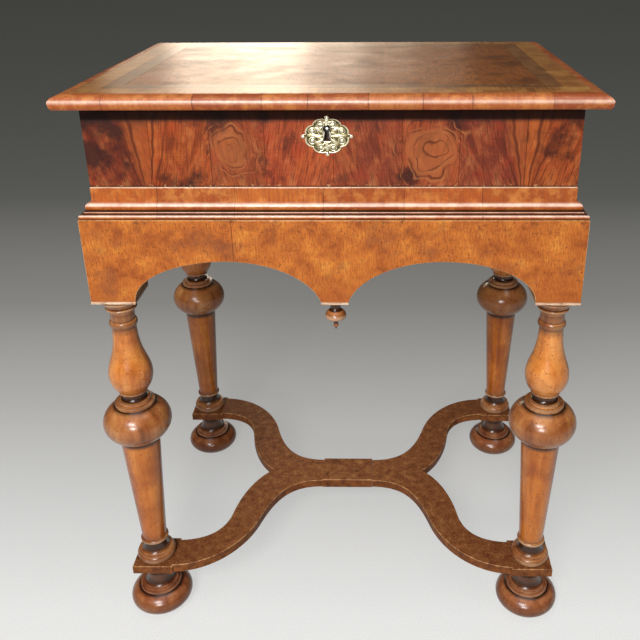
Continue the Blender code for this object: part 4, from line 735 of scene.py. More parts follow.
def cross_grain(name, across, joints, tones, highlight_by_facing, highlight_strength, grooves, worn_rims):
    """Walnut cross-grain moulding: fine streaks 1.6 mm wide run over the moulding, each short piece has its own
    tone, the joints show as dark hairlines, dark lines lie along the grooves, and a painted highlight of pale
    pink lies on the round, set by how far each face turns upward."""
    made, tree, shader = begin_material(name, 0.3, 0.16)
    shader.inputs["Specular IOR Level"].default_value = 0.25
    place = add(tree, "TexCoord", out="Object")
    axes = add(tree, "SeparateXYZ", {0: place}).node.outputs
    stretch = {"X": (1, 0.1, 0.1), "Y": (0.1, 1, 0.1)}[across]
    drawn = add(tree, "Mapping", {"Vector": place, "Scale": stretch})
    grain = add(tree, "TexNoise", {"Vector": drawn, "Scale": 1 / (1.6 * MM), "Detail": 4, "Roughness": 0.65})
    broad = add(tree, "TexNoise", {"Vector": place, "Scale": 1 / (16 * MM), "Detail": 7, "Roughness": 0.7})
    span = add(tree, "MapRange", {0: axes[across], 1: -REACH, 2: REACH})
    pieces = [(0.0, tones[0])]
    for number, joint in enumerate(joints):
        pieces.append((share_of_the_run(joint), tones[(number + 1) % len(tones)]))
    colour = add(tree, "ValToRGB", {"Fac": span}, stops=pieces, steps="CONSTANT")
    streak = add(tree, "MapRange", {0: grain, 1: 0.42, 2: 0.66, 4: 0.7})
    colour = add(tree, "Mix", {0: streak, 6: colour, 7: linear("#7A3A1C")}, 2, data_type="RGBA")
    colour = laid_over(tree, colour, [(broad, 0.48, 0.66, 0.65, "#CC8440")])
    # Painted highlight: pale pink laid on the round according to how far each face turns upward, broken into
    # patches.
    facing = add(tree, "TexCoord", out="Normal")
    upward = add(tree, "SeparateXYZ", {0: facing}, "Z")
    upward = add(tree, "MapRange", {0: upward, 1: -0.5, 2: 1.0})
    wear_and_painted_highlight = add(tree, "ValToRGB", {"Fac": upward}, stops=highlight_by_facing)
    patchy = add(tree, "MapRange", {0: broad, 1: 0.34, 2: 0.60, 3: 0.55 * highlight_strength, 4: highlight_strength})
    painted_highlight = add(tree, "Math", {0: wear_and_painted_highlight, 1: patchy}, operation="MULTIPLY")
    colour = add(tree, "Mix", {0: painted_highlight, 6: colour, 7: linear("#F0D2BE")}, 2, data_type="RGBA")
    levels = [(groove, 0.9, "#2A120A") for groove in grooves] + [(rim, 0.5, "#EACBA6") for rim in worn_rims]
    for level, strength, shade in levels:
        away = add(tree, "Math", {0: axes["Z"], 1: level}, operation="SUBTRACT")
        away = add(tree, "Math", {0: away}, operation="ABSOLUTE")
        colour = laid_over(tree, colour, [(away, 0.75 * MM, 0.25 * MM, strength, shade)])
    line = hairlines(tree, axes[across], stepped(joints), 0.7 * MM)
    worn_joint = add(tree, "MapRange", {0: broad, 1: 0.36, 2: 0.62, 3: 0.75, 4: 0.3})
    line = add(tree, "Math", {0: line, 1: worn_joint}, operation="MULTIPLY")
    colour = add(tree, "Mix", {0: line, 6: colour, 7: linear("#2A1008")}, 2, data_type="RGBA")
    tree.links.new(colour, shader.inputs["Base Color"])
    gloss = add(tree, "MapRange", {0: broad, 1: 0.3, 2: 0.7, 3: 0.36, 4: 0.25})
    tree.links.new(gloss, shader.inputs["Roughness"])
    dents = add(tree, "Math", {0: streak, 1: line}, operation="MAXIMUM")
    pressed = add(tree, "Bump", {"Strength": 0.3, "Distance": 0.1 * MM, "Height": dents}, invert=True)
    tree.links.new(pressed, shader.inputs["Normal"])
    return made


stand_profile = [(MOULDING_DEPTH, 0)]
stand_profile += reed(0.25 * MOULDING_STEP, 0.155 * REEDS, 0.155 * REEDS, -90, 70)
stand_profile += reed(0.50 * MOULDING_STEP, 0.385 * REEDS, 0.06 * REEDS, -70, 70)
stand_profile += reed(0.87 * MOULDING_STEP, 0.73 * REEDS, 0.27 * REEDS, -80, 75)
stand_profile += [(MOULDING_STEP, 1.02 * REEDS), (MOULDING_STEP, MOULDING_HEIGHT - 0.6 * MM)]
stand_profile += [(MOULDING_STEP + 0.2 * MM, MOULDING_HEIGHT - 0.2 * MM)]
stand_profile += [(MOULDING_STEP + 0.6 * MM, MOULDING_HEIGHT), (MOULDING_DEPTH, MOULDING_HEIGHT)]
# Painted highlight on the reeds, set by how far each face turns upward.
REED_HIGHLIGHT_BY_FACING = [(0.38, "#000000"), (0.60, "#FFFFFF"), (0.87, "#FFFFFF"), (1.0, "#606060")]
REED_JOINTS = [-208.6, -117.2, -13.5, 82.8, 172.6]
SIDE_REED_JOINTS = [-128, -41, 52, 139]
REED_HIGHLIGHT_STRENGTH = 0.85
stand_tones = ["#AE581C", "#9E4C18", "#B25E22", "#9A4816", "#A8521C", "#A04E1A"]
reed_grooves = [moulding_low.z + share * REEDS for share in (0.32, 0.455)]
reeds = mitred_round("reeded_moulding", stand_profile, STAND_SIDE, veneer_low.y, moulding_low.z,
                     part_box("stand_moulding_left")[1].y)
front_grain = cross_grain("cross_grain_walnut_reeds_front", "X", REED_JOINTS, stand_tones, REED_HIGHLIGHT_BY_FACING,
                          REED_HIGHLIGHT_STRENGTH, reed_grooves, [moulding_high.z])
side_grain = cross_grain("cross_grain_walnut_reeds_sides", "Y", SIDE_REED_JOINTS, stand_tones[::-1], REED_HIGHLIGHT_BY_FACING,
                         REED_HIGHLIGHT_STRENGTH, reed_grooves, [moulding_high.z])
for side, stick in reeds.items():
    stick.data.materials.append(front_grain if side == "front" else side_grain)
    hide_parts("stand_moulding_" + side)
    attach(stick, "stand")

# The box: front, back and side boards of deal dovetailed at the corners, with a thin bottom let in. The inside
# and the back are bare wood, browned by age.
paint(wide_deal, "box_front", "box_back", "box_bottom")
paint(deep_deal, "box_left", "box_right")

# Veneer on the front and sides of the box: eight leaves of red-brown walnut, opened like a book so that each
# mirrors the next, with knots and V-shaped figure. It is sawn veneer glued on the deal and waxed.
box_low, box_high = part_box("box_veneer_front")
BOX_FOOT = moulding_high.z
BOX_SHOWN = box_high.z - BOX_FOOT
LEAF = 75
KNOT_LINES = [("#9C5C34", ((0.78, 0.07), (1.12, 0.09), (1.50, 0.06)))]
KNOT_LINES += [("#44190C", ((0.30, 0.05), (0.70, 0.05), (1.02, 0.075), (1.42, 0.04)))]
# Painted shadow of the lid: near-black over the top fifth of the upright veneer, with a dark line at its foot.
PAINTED_LID_SHADOW_AND_FOOT_LINE = [(0.0, "#E0E0E0"), (0.03, "#000000"), (0.80, "#000000"), (0.85, "#F6F6F6"), (1.0, "#FDFDFD")]


def figured_veneer(name, across, along, seams, foot, tints, knots, vees, slope, polish, dye):
    """Figured walnut veneer: mirrored leaves with grain 1.6 mm wide and blotchy bands 17 mm wide, knots drawn
    round by dark and pale lines, V-shaped figure, red and golden patches, near-black stains that grow towards
    the ends, and a hairline where leaves meet. Upright veneer is also chipped low down, has a dark line at its
    foot, and carries a near-black painted shadow of the lid over its top, made rough there."""
    made, tree, shader = begin_material(name, 0.3, polish)
    shader.inputs["Specular IOR Level"].default_value = 0.2
    shader.inputs["Coat Roughness"].default_value = 0.33
    upright = along == "Z"
    place = add(tree, "TexCoord", out="Object")
    axes = add(tree, "SeparateXYZ", {0: place}).node.outputs
    span = add(tree, "MapRange", {0: axes[across], 1: -REACH, 2: REACH})
    leaf_stops = [(share_of_the_run(seams[0] - LEAF), "#FFFFFF")]
    tint_stops = [(0.0, tints[0])]
    for number, seam in enumerate(seams):
        leaf_stops.append((share_of_the_run(seam), "#000000" if number % 2 == 0 else "#FFFFFF"))
        tint_stops.append((share_of_the_run(seam), tints[(number + 1) % len(tints)]))
    leaf_stops.append((share_of_the_run(seams[-1] + LEAF), "#FFFFFF" if len(seams) % 2 else "#000000"))
    leaf = add(tree, "ValToRGB", {"Fac": span}, stops=leaf_stops)
    leaf = add(tree, "Math", {0: leaf, 1: LEAF * MM}, operation="MULTIPLY")
    height = add(tree, "Math", {0: axes[along], 1: foot}, operation="SUBTRACT")
    fan = add(tree, "Math", {0: height, 1: -slope, 2: leaf}, operation="MULTIPLY_ADD")
    sheet = add(tree, "CombineXYZ", {0: fan, 1: height})
    drawn = add(tree, "Mapping", {"Vector": sheet, "Scale": (1, 0.05, 1)})
    grain = add(tree, "TexNoise", {
        "Vector": drawn, "Scale": 1 / (1.6 * MM), "Detail": 4, "Roughness": 0.68, "Distortion": 0.4})
    broad = add(tree, "Mapping", {"Vector": sheet, "Scale": (1, 0.4, 1)})
    bands = add(tree, "TexNoise", {
        "Vector": broad, "Scale": 1 / (17 * MM), "Detail": 6, "Roughness": 0.64, "Distortion": 0.8})
    crossed = add(tree, "Mapping", {"Vector": sheet, "Scale": (0.06, 1, 1)})
    scratch = add(tree, "TexNoise", {"Vector": crossed, "Scale": 1 / (2.6 * MM), "Detail": 4, "Roughness": 0.7})
    wavy = add(tree, "TexNoise", {"Vector": place, "Scale": 1 / (27 * MM), "Detail": 1.5})
    clouds = []
    shifts = ((0, 0, 0), (0.31, 0.17, 0.05), (0.12, 0.43, 0.29), (0.5, 0.2, 0.1))
    for shift, width in zip(shifts, (44, 28, 30, 6)):
        moved = add(tree, "Mapping", {"Vector": place, "Location": shift})
        clouds.append(add(tree, "TexNoise", {
            "Vector": moved, "Scale": 1 / (width * MM), "Detail": 5, "Roughness": 0.62}))
    stain, red, golden, chipped = clouds
    aside = add(tree, "Math", {0: axes[across]}, operation="ABSOLUTE")
    ends = add(tree, "MapRange", {0: aside, 1: 205 * MM, 2: 300 * MM, 4: 0.11})
    stain = add(tree, "Math", {0: stain, 1: ends}, operation="ADD")
    tint = add(tree, "ValToRGB", {"Fac": span}, stops=tint_stops, steps="CONSTANT")
    colour = add(tree, "ValToRGB", {"Fac": bands},
                 stops=[(0.30, "#44180C"), (0.42, "#743018"), (0.53, "#A0502A"), (0.66, "#C07A48")])
    colour = laid_over(tree, colour, [(red, 0.50, 0.63, 0.7, "#9C3418"), (golden, 0.54, 0.67, 0.6, "#B8622A")])
    colour = add(tree, "Mix", {0: dye, 6: colour, 7: tint}, 2, data_type="RGBA")
    stained = (stain, 0.51, 0.65, 0.88, "#2A100C") if upright else (stain, 0.50, 0.68, 0.6, "#3A1C0C")
    colour = laid_over(tree, colour, [
        (grain, 0.46, 0.63, 0.72, "#46190D"), (scratch, 0.54, 0.68, 0.4, "#4A2014"), stained])
    for vee_x, vee_z, half_width in vees:
        aside = add(tree, "Math", {0: axes[across], 1: vee_x * MM}, operation="SUBTRACT")
        aside = add(tree, "Math", {0: aside}, operation="ABSOLUTE")
        above = add(tree, "Math", {0: axes[along], 1: vee_z * MM}, operation="SUBTRACT")
        rays = add(tree, "Math", {0: aside, 1: above}, operation="DIVIDE")
        rays = add(tree, "Math", {0: wavy, 1: 0.16, 2: rays}, operation="MULTIPLY_ADD")
        colour = laid_over(tree, colour, [(rays, 0.36, 0.26, 0.3, "#B4602A")])
        rays = add(tree, "Math", {0: rays, 1: 34.0}, operation="MULTIPLY")
        rays = add(tree, "Math", {0: rays}, operation="SINE")
        rays = add(tree, "MapRange", {0: rays, 1: 0.45, 2: 0.95})
        near = add(tree, "MapRange", {0: aside, 1: half_width * MM, 2: half_width * 0.4 * MM, 4: 0.8})
        rays = add(tree, "Math", {0: rays, 1: near}, operation="MULTIPLY")
        colour = add(tree, "Mix", {0: rays, 6: colour, 7: linear("#4A1C0E")}, 2, data_type="RGBA")
    for knot_x, knot_z, half_width, half_height in knots:
        ring_x = add(tree, "MapRange", {
            0: axes[across], 1: knot_x * MM, 2: (knot_x + half_width) * MM}, clamp=False)
        ring_z = add(tree, "MapRange", {
            0: axes[along], 1: knot_z * MM, 2: (knot_z + half_height) * MM}, clamp=False)
        centred = add(tree, "CombineXYZ", {0: ring_x, 1: ring_z})
        radius = add(tree, "VectorMath", {0: centred}, "Value", operation="LENGTH")
        uneven = add(tree, "Math", {0: wavy, 1: 1.5, 2: radius}, operation="MULTIPLY_ADD")
        colour = laid_over(tree, colour, [(uneven, 1.85, 1.65, 0.5, "#A05C32")])
        outwards = add(tree, "MapRange", {0: uneven, 1: 0.75, 2: 2.75})
        broken = add(tree, "MapRange", {0: golden, 1: 0.40, 2: 0.58, 3: 0.1, 4: 0.9})
        for shade, circles in KNOT_LINES:
            stops = [(0.0, "#000000")]
            for middle, width in circles:
                stops += [((middle - width) / 2, "#000000"), (middle / 2, "#FFFFFF")]
                stops += [((middle + width) / 2, "#000000")]
            rings = add(tree, "ValToRGB", {"Fac": outwards}, stops=stops)
            rings = add(tree, "Math", {0: rings, 1: broken}, operation="MULTIPLY")
            colour = add(tree, "Mix", {0: rings, 6: colour, 7: linear(shade)}, 2, data_type="RGBA")
    line = hairlines(tree, axes[across], stepped(seams), 0.6 * MM)
    line = add(tree, "Math", {0: line, 1: 0.8 if upright else 0.3}, operation="MULTIPLY")
    colour = add(tree, "Mix", {0: line, 6: colour, 7: linear("#381508")}, 2, data_type="RGBA")
    gloss = add(tree, "MapRange", {0: stain, 1: 0.35, 2: 0.7, 3: 0.26, 4: 0.42})
    if upright:
        low = add(tree, "MapRange", {0: height, 1: 3.5 * MM, 2: 1.5 * MM})
        nicks = add(tree, "MapRange", {0: chipped, 1: 0.55, 2: 0.62, 4: 0.75})
        nicks = add(tree, "Math", {0: nicks, 1: low}, operation="MULTIPLY")
        colour = add(tree, "Mix", {0: nicks, 6: colour, 7: linear("#D9A878")}, 2, data_type="RGBA")
        # Painted shadow: the top of the upright veneer is painted near-black under the lid, and its roughness
        # is raised there.
        risen = add(tree, "MapRange", {0: height, 1: 0.0, 2: BOX_SHOWN})
        painted_shadow_and_foot_line = add(tree, "ValToRGB", {"Fac": risen}, stops=PAINTED_LID_SHADOW_AND_FOOT_LINE)
        colour = add(tree, "Mix", {0: painted_shadow_and_foot_line, 6: colour, 7: linear("#120604")}, 2, data_type="RGBA")
        gloss = add(tree, "Math", {0: gloss, 1: painted_shadow_and_foot_line}, operation="MAXIMUM")
    tree.links.new(colour, shader.inputs["Base Color"])
    tree.links.new(gloss, shader.inputs["Roughness"])
    pressed = add(tree, "Bump", {"Strength": 0.18, "Distance": 0.1 * MM, "Height": grain}, invert=True)
    tree.links.new(pressed, shader.inputs["Normal"])
    return made


box_seams = [-210.7, -141.7, -79.8, 1.3, 77.7, 144.8, 220.8]
box_tints = ["#6E2A18", "#A24C1E", "#8C4828", "#AC4C2C", "#7E3C2A", "#9C4828", "#703226", "#A45022"]
box_knots = [(-115, 703.7, 21, 20), (115, 697.6, 30, 28)]
box_vees = [(-215, 633, 34), (222, 631, 34)]
paint(figured_veneer("figured_walnut_veneer_front", "X", "Z", box_seams, BOX_FOOT, box_tints, box_knots,
                     box_vees, 0.2, 0.0, 0.45), "box_veneer_front")
side_seams = [-150, -72, 6, 84, 150]
paint(figured_veneer("figured_walnut_veneer_sides", "Y", "Z", side_seams, BOX_FOOT, box_tints[1:],
                     [(45, 700, 22, 20)], [(-72, 633, 30)], 0.2, 0.0, 0.4),
      "box_veneer_left", "box_veneer_right")

# Brass escutcheon round the keyhole: a lobed plate cast in relief with a rosette in each lobe, leaf ridges
# between, a raised rim round the keyhole and a round-headed pin in the nib at each side.
plate_low, plate_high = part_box("escutcheon")
PLATE_X = (plate_low.x + plate_high.x) / 2
PLATE_Z = (plate_low.z + plate_high.z) / 2
PLATE_BACK = box_low.y - 0.1 * MM
PLATE_WIDTH = plate_high.x - plate_low.x
PLATE_TALL = plate_high.z - plate_low.z
PLATE_THICK = 0.8 * MM
NIB = 2.4 * MM
KEYHOLE_RADIUS = 4.2 * MM
KEYHOLE_LENGTH = 13.9 * MM
KEYHOLE_MIDDLE = 5 * MM
CAST_FINE = 0.9 * MM
ROSETTE = 2.5 * MM
ROSETTE_RING = 3.6 * MM
PIN_HEAD = 1.7 * MM
RIM_LIFT = 0.8 * MM
ROUND = 260
RINGS = 46
lobe_x = PLATE_WIDTH / 2 - 1.5 * NIB
lobe_z = PLATE_TALL / 2 - NIB
nibs = [(PLATE_WIDTH / 2 - NIB, 0), (0, lobe_z), (NIB - PLATE_WIDTH / 2, 0), (0, -lobe_z)]
LOBES = [math.radians(22.5 + 45 * number) for number in range(8)]
rosettes = [(lobe_x * 0.70 * math.cos(a), lobe_z * 0.70 * math.sin(a)) for a in LOBES]
centre_z = PLATE_TALL * 0.18 - KEYHOLE_MIDDLE


def plate_edge(angle):
    """How far the lobed outline lies from the middle of the keyhole, towards an angle."""
    reach = 0.1 * MM
    while reach < 40 * MM:
        across = reach * math.cos(angle)
        tall = centre_z + reach * math.sin(angle)
        turn = math.atan2(tall / lobe_z, across / lobe_x)
        lobed = 0.86 + 0.14 * abs(math.sin(4 * turn)) ** 0.6
        nearest = min(math.hypot(across - x * s, tall - z * s) for x, z in nibs for s in (0.7, 0.8, 0.9, 1))
        on_nib = nearest < NIB
        if math.hypot(across / lobe_x, tall / lobe_z) > lobed and not on_nib:
            return reach
        reach += 0.1 * MM
    return reach


def keyhole_edge(angle):
    """How far the keyhole's edge lies from its middle, towards an angle."""
    reach = 0.0
    while reach < 20 * MM:
        across = abs(reach * math.cos(angle))
        drop = KEYHOLE_MIDDLE - reach * math.sin(angle)
        flare = KEYHOLE_RADIUS * (0.52 + 0.43 * max(0, drop / KEYHOLE_LENGTH - 0.4) / 0.6)
        in_round = math.hypot(across, drop) < KEYHOLE_RADIUS
        in_slot = 0 < drop < KEYHOLE_LENGTH and across < flare
        if not in_round and not in_slot:
            return reach
        reach += 0.05 * MM
    return reach


def cast_height(across, tall, share):
    """How high the casting stands over its ground at a place on the plate."""
    height = 0.15 * MM * math.sin(across / CAST_FINE) * math.sin(tall / CAST_FINE)
    for x, z in rosettes:
        away = math.hypot(across - x, tall - z)
        petals = 0.75 + 0.25 * math.cos(6 * math.atan2(tall - z, across - x))
        height = max(height, 0.75 * MM * petals * max(0, 1 - (away / ROSETTE) ** 2))
        height = max(height, 0.7 * MM * math.exp(-(away / (0.7 * MM)) ** 2))
        height = max(height, 0.6 * MM * math.exp(-((away - ROSETTE_RING) / (0.5 * MM)) ** 2))
    turn = math.atan2(tall / lobe_z, across / lobe_x)
    leaf = abs(math.sin(4 * turn + math.pi / 2))
    ridge = 0.55 * MM * leaf ** 5 * math.sin(math.pi * min(1, max(0, share * 1.25)))
    curl = 0.45 * MM * max(0, math.sin(8 * turn + 16 * share)) ** 3 * (1 if 0.15 < share < 0.62 else 0)
    height = max(height, ridge, curl)
    if share < 0.13:
        height = RIM_LIFT * math.sin(math.pi * min(1, share / 0.13))
    if share > 0.93:
        height = max(height, 0.4 * MM)
    for x, z in nibs:
        away = math.hypot(across - x, tall - z)
        height = max(height, 0.9 * MM * math.sqrt(max(0, 1 - (away / PIN_HEAD) ** 2)))
    return height


angles = [math.tau * step / ROUND for step in range(ROUND)]
hole_reach = [keyhole_edge(angle) for angle in angles]
edge_reach = [plate_edge(angle) for angle in angles]
bpy.ops.object.select_all(action="DESELECT")
bpy.ops.mesh.primitive_circle_add(vertices=ROUND, radius=1, rotation=(math.pi / 2, 0, 0))
escutcheon = bpy.context.object
escutcheon.name = "cast_brass_escutcheon"
bpy.ops.object.transform_apply(location=False, rotation=True, scale=False)
bpy.ops.object.mode_set(mode="EDIT")
bpy.ops.mesh.select_mode(type="EDGE")
bpy.ops.mesh.select_all(action="SELECT")
for ring in range(RINGS):
    wider = (RINGS + ring + 1) / (RINGS + ring)
    bpy.ops.mesh.extrude_edges_move()
    bpy.ops.transform.resize(value=(wider, 1, wider), center_override=(0, 0, 0))
bpy.ops.mesh.select_all(action="SELECT")
bpy.ops.mesh.extrude_region_move(TRANSFORM_OT_translate={"value": (0, -PLATE_THICK, 0)})
bpy.ops.mesh.select_all(action="SELECT")
bpy.ops.mesh.normals_make_consistent(inside=False)
bpy.ops.object.mode_set(mode="OBJECT")
raised = escutcheon.data.attributes.new("relief", "FLOAT", "POINT")
for spot, vertex in zip(raised.data, escutcheon.data.vertices):
    number = round(math.atan2(vertex.co.z, vertex.co.x) / math.tau * ROUND) % ROUND
    share = math.hypot(vertex.co.x, vertex.co.z) - 1
    reach = hole_reach[number] + (edge_reach[number] - hole_reach[number]) * share
    across = reach * math.cos(angles[number])
    tall = centre_z + reach * math.sin(angles[number])
    lift = cast_height(across, tall, share)
    spot.value = lift / RIM_LIFT
    front = vertex.co.y < -PLATE_THICK / 2
    vertex.co = (PLATE_X + across, PLATE_BACK - (PLATE_THICK + lift if front else 0), PLATE_Z + tall)
bpy.ops.object.shade_smooth_by_angle(angle=math.radians(60))

# Brass cast in a mould, chased and long polished: pale gold on the high places, brown-black in the ground.
cast_brass, tree, shader = begin_material("old_cast_brass", 0.3, 0.0)
shader.inputs["Metallic"].default_value = 1.0
place = add(tree, "TexCoord", out="Object")
grit = add(tree, "TexNoise", {"Vector": place, "Scale": 1 / (1.2 * MM), "Detail": 4})
lift = add(tree, "Attribute", out="Fac", attribute_name="relief")
level = add(tree, "Math", {0: grit, 1: 0.3, 2: lift}, operation="MULTIPLY_ADD")
colour = add(tree, "ValToRGB", {"Fac": level},
             stops=[(0.10, "#2A2012"), (0.32, "#857852"), (0.58, "#CFC59F"), (0.95, "#F4EEDC")])
tree.links.new(colour, shader.inputs["Base Color"])
gloss = add(tree, "MapRange", {0: level, 1: 0.1, 2: 0.8, 3: 0.55, 4: 0.26})
tree.links.new(gloss, shader.inputs["Roughness"])
escutcheon.data.materials.append(cast_brass)
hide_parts("escutcheon")
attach(escutcheon, "box")

# Lock let into the inside of the front board, with its sliding bolt, and the staple under the lid that the
# bolt locks. They are forged and filed iron, with a drill pin for a pipe key.
PIN_END = -198 * MM
# Forged iron, filed and oiled: grey-brown, with file scratches 0.8 mm apart and patches of rust. The key has
# rubbed the front end of the drill pin bright.
forged_iron, tree, shader = begin_material("filed_forged_iron", 0.45, 0.0)
shader.inputs["Metallic"].default_value = 0.9
place = add(tree, "TexCoord", out="Object")
drawn = add(tree, "Mapping", {"Vector": place, "Scale": (0.06, 1, 1)})
scratch = add(tree, "TexNoise", {"Vector": drawn, "Scale": 1 / (0.8 * MM), "Detail": 3})
rust = add(tree, "TexNoise", {"Vector": place, "Scale": 1 / (7 * MM), "Detail": 6})
forward = add(tree, "SeparateXYZ", {0: place}, "Y")
colour = add(tree, "ValToRGB", {"Fac": scratch}, stops=[(0.35, "#4B4742"), (0.7, "#7C766D")])
colour = laid_over(tree, colour, [
    (rust, 0.52, 0.66, 0.8, "#4A2A1A"), (forward, PIN_END + 0.2 * MM, PIN_END - 0.2 * MM, 1.0, "#F2F0EA")])
tree.links.new(colour, shader.inputs["Base Color"])
gloss = add(tree, "MapRange", {0: rust, 1: 0.4, 2: 0.66, 3: 0.36, 4: 0.75})
tree.links.new(gloss, shader.inputs["Roughness"])
paint(forged_iron, "lock_case", "lock_bolt", "lock_staple")

# The lid's ground, and the veneer laid on it: a board of deal, then a middle panel of figured walnut, a dark
# band and a lighter, more golden crossband outside it, all glued down flush and polished bright.
paint(wide_deal, "lid_board")
lid_seams = [-171, -57, 57, 171]
lid_tints = ["#A25E1E", "#A86822", "#985618", "#A46220", "#9A5A1C"]
paint(figured_veneer("polished_walnut_lid_veneer", "X", "Y", lid_seams, -0.2, lid_tints, [], [],
                     0.1, 0.8, 0.85),
      "lid_panel")
band_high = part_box("lid_crossband")[1]
MITRE_OFFSET = band_high.x - band_high.y


def cut_across(name, tones):
    """Polished walnut laid round the lid with its grain running out to the edge, in streaks 2.4 mm wide, and
    mitred at the corners."""
    made, tree, shader = begin_material(name, 0.3, 0.8)
    shader.inputs["Coat Roughness"].default_value = 0.33
    place = add(tree, "TexCoord", out="Object")
    axes = add(tree, "SeparateXYZ", {0: place}).node.outputs
    grains = []
    for stretch in ((1, 0.07, 1), (0.07, 1, 1)):
        drawn = add(tree, "Mapping", {"Vector": place, "Scale": stretch})
        grains.append(add(tree, "TexNoise", {
            "Vector": drawn, "Scale": 1 / (2.4 * MM), "Detail": 5, "Roughness": 0.66}))
    aside = add(tree, "Math", {0: axes["X"]}, operation="ABSOLUTE")
    ahead = add(tree, "Math", {0: axes["Y"]}, operation="ABSOLUTE")
    over = add(tree, "Math", {0: aside, 1: ahead}, operation="SUBTRACT")
    at_a_side = add(tree, "Math", {0: over, 1: MITRE_OFFSET}, operation="GREATER_THAN")
    streaks = add(tree, "Mix", {0: at_a_side, 2: grains[0], 3: grains[1]})
    clouds = add(tree, "TexNoise", {"Vector": place, "Scale": 1 / (30 * MM), "Detail": 4})
    level = add(tree, "Math", {0: clouds, 1: 0.7, 2: streaks}, operation="MULTIPLY_ADD")
    level = add(tree, "Math", {0: level, 1: 0.588}, operation="MULTIPLY")
    colour = add(tree, "ValToRGB", {"Fac": level}, stops=list(zip((0.36, 0.5, 0.64), tones)))
    tree.links.new(colour, shader.inputs["Base Color"])
    return made


paint(cut_across("dark_polished_walnut_band", ["#55300F", "#7E4E22", "#9C6A34"]), "lid_band")
paint(cut_across("polished_walnut_crossband", ["#784315", "#A4682A", "#C69048"]), "lid_crossband")

# Edge moulding of the lid, mitred at the front corners: a flattened round on top that turns under to the box.
# Short cross-grain walnut pieces are glued round the board and scraped to the round.
lid_low, lid_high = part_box("lid_moulding_front")
LID_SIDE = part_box("lid_moulding_right")[1].x
LID_THICK = lid_high.z - lid_low.z
LID_EDGE = 18 * MM
LID_NOSE = 8.5 * MM
NOSE_UNDER = 4.5 * MM
NOSE_RUN = LID_EDGE * 0.8
# Painted highlight on the lid's round. It is strongest near the nose and is set by how far each face turns
# upward.
NOSE_HIGHLIGHT_BY_FACING = [(0.24, "#000000"), (0.38, "#F0F0F0"), (0.60, "#FFFFFF"), (0.78, "#6A6A6A"), (1.0, "#303030")]
NOSE_JOINTS = [-249.7, -150.9, -74.1, -26.3, 42, 99.3, 152.2, 241.6]
SIDE_NOSE_JOINTS = [-140, -58, 30, 121]
NOSE_HIGHLIGHT_STRENGTH = 0.6
lid_tones = ["#A4501F", "#AE5E2A", "#96461C", "#AA5826", "#9A4A20", "#B06430"]
lid_profile = [(LID_EDGE, LID_THICK), (LID_EDGE, 0)]
quarter = [math.pi / 2 * step / 24 for step in range(25)]
for turn in quarter[:-1]:
    lid_profile.append((NOSE_UNDER * (1 - math.sin(turn)), LID_NOSE * (1 - math.cos(turn))))
for turn in quarter:
    lid_profile.append((NOSE_RUN * (1 - math.cos(turn)), LID_NOSE + (LID_THICK - LID_NOSE) * math.sin(turn)))
lid_edges = mitred_round("lid_edge_moulding", lid_profile, LID_SIDE, lid_low.y, lid_low.z,
                         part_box("lid_moulding_left")[1].y)
front_grain = cross_grain("cross_grain_walnut_lid_front", "X", NOSE_JOINTS, lid_tones, NOSE_HIGHLIGHT_BY_FACING,
                          NOSE_HIGHLIGHT_STRENGTH, [], [])
side_grain = cross_grain("cross_grain_walnut_lid_sides", "Y", SIDE_NOSE_JOINTS, lid_tones[::-1], NOSE_HIGHLIGHT_BY_FACING,
                         NOSE_HIGHLIGHT_STRENGTH, [], [])
for side, stick in lid_edges.items():
    stick.data.materials.append(front_grain if side == "front" else side_grain)
    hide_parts("lid_moulding_" + side)
    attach(stick, "lid")

# Two brass butt hinges let into the top of the back board and the underside of the lid, each with a pin
# through its knuckles.
# Brass sheet, hammered and filed: dull gold with fine scratches 0.6 mm apart and brown tarnish.
filed_brass, tree, shader = begin_material("filed_hinge_brass", 0.36, 0.0)
shader.inputs["Metallic"].default_value = 1.0
place = add(tree, "TexCoord", out="Object")
drawn = add(tree, "Mapping", {"Vector": place, "Scale": (0.08, 1, 1)})
scratch = add(tree, "TexNoise", {"Vector": drawn, "Scale": 1 / (0.6 * MM), "Detail": 3})
tarnish = add(tree, "TexNoise", {"Vector": place, "Scale": 1 / (6 * MM), "Detail": 5})
colour = add(tree, "ValToRGB", {"Fac": scratch}, stops=[(0.35, "#9A8450"), (0.7, "#C8B878")])
colour = laid_over(tree, colour, [(tarnish, 0.5, 0.68, 0.7, "#5C4826")])
tree.links.new(colour, shader.inputs["Base Color"])
gloss = add(tree, "MapRange", {0: tarnish, 1: 0.4, 2: 0.68, 3: 0.3, 4: 0.55})
tree.links.new(gloss, shader.inputs["Roughness"])
for side in ("left", "right"):
    paint(filed_brass, "hinge_leaf_box_" + side, "hinge_leaf_lid_" + side, "hinge_pin_" + side)

# The floor and backdrop: one wide sheet of matt paper, pale underfoot and curved up behind, its grey painted
# darker with distance as painted shade. It shines a little of itself to the camera, so that it stays pale
# without more light on the box.
FLOOR = 14.0
FLOOR_BACK = 3.4
PAPER_RISE = 5
PAPER_BEND = 1.6
PAPER_GLOW = 0.76
far_edge = FLOOR / 2 - 0.01
bpy.ops.object.select_all(action="DESELECT")
bpy.ops.mesh.primitive_plane_add(size=FLOOR, location=(0, FLOOR_BACK - FLOOR / 2, 0))
paper = bpy.context.object
paper.name = "paper_backdrop"
choose_edges(paper, lambda start, end: min(start.y, end.y) > far_edge)
bpy.ops.mesh.extrude_region_move(TRANSFORM_OT_translate={"value": (0, 0, PAPER_RISE)})
choose_edges(paper, lambda start, end: min(start.y, end.y) > far_edge and max(start.z, end.z) < 0.01)
bpy.ops.mesh.bevel(offset=PAPER_BEND, segments=24, affect="EDGES")
bpy.ops.object.mode_set(mode="OBJECT")
bpy.ops.object.transform_apply(location=True, rotation=True, scale=True)
bpy.ops.object.shade_smooth()
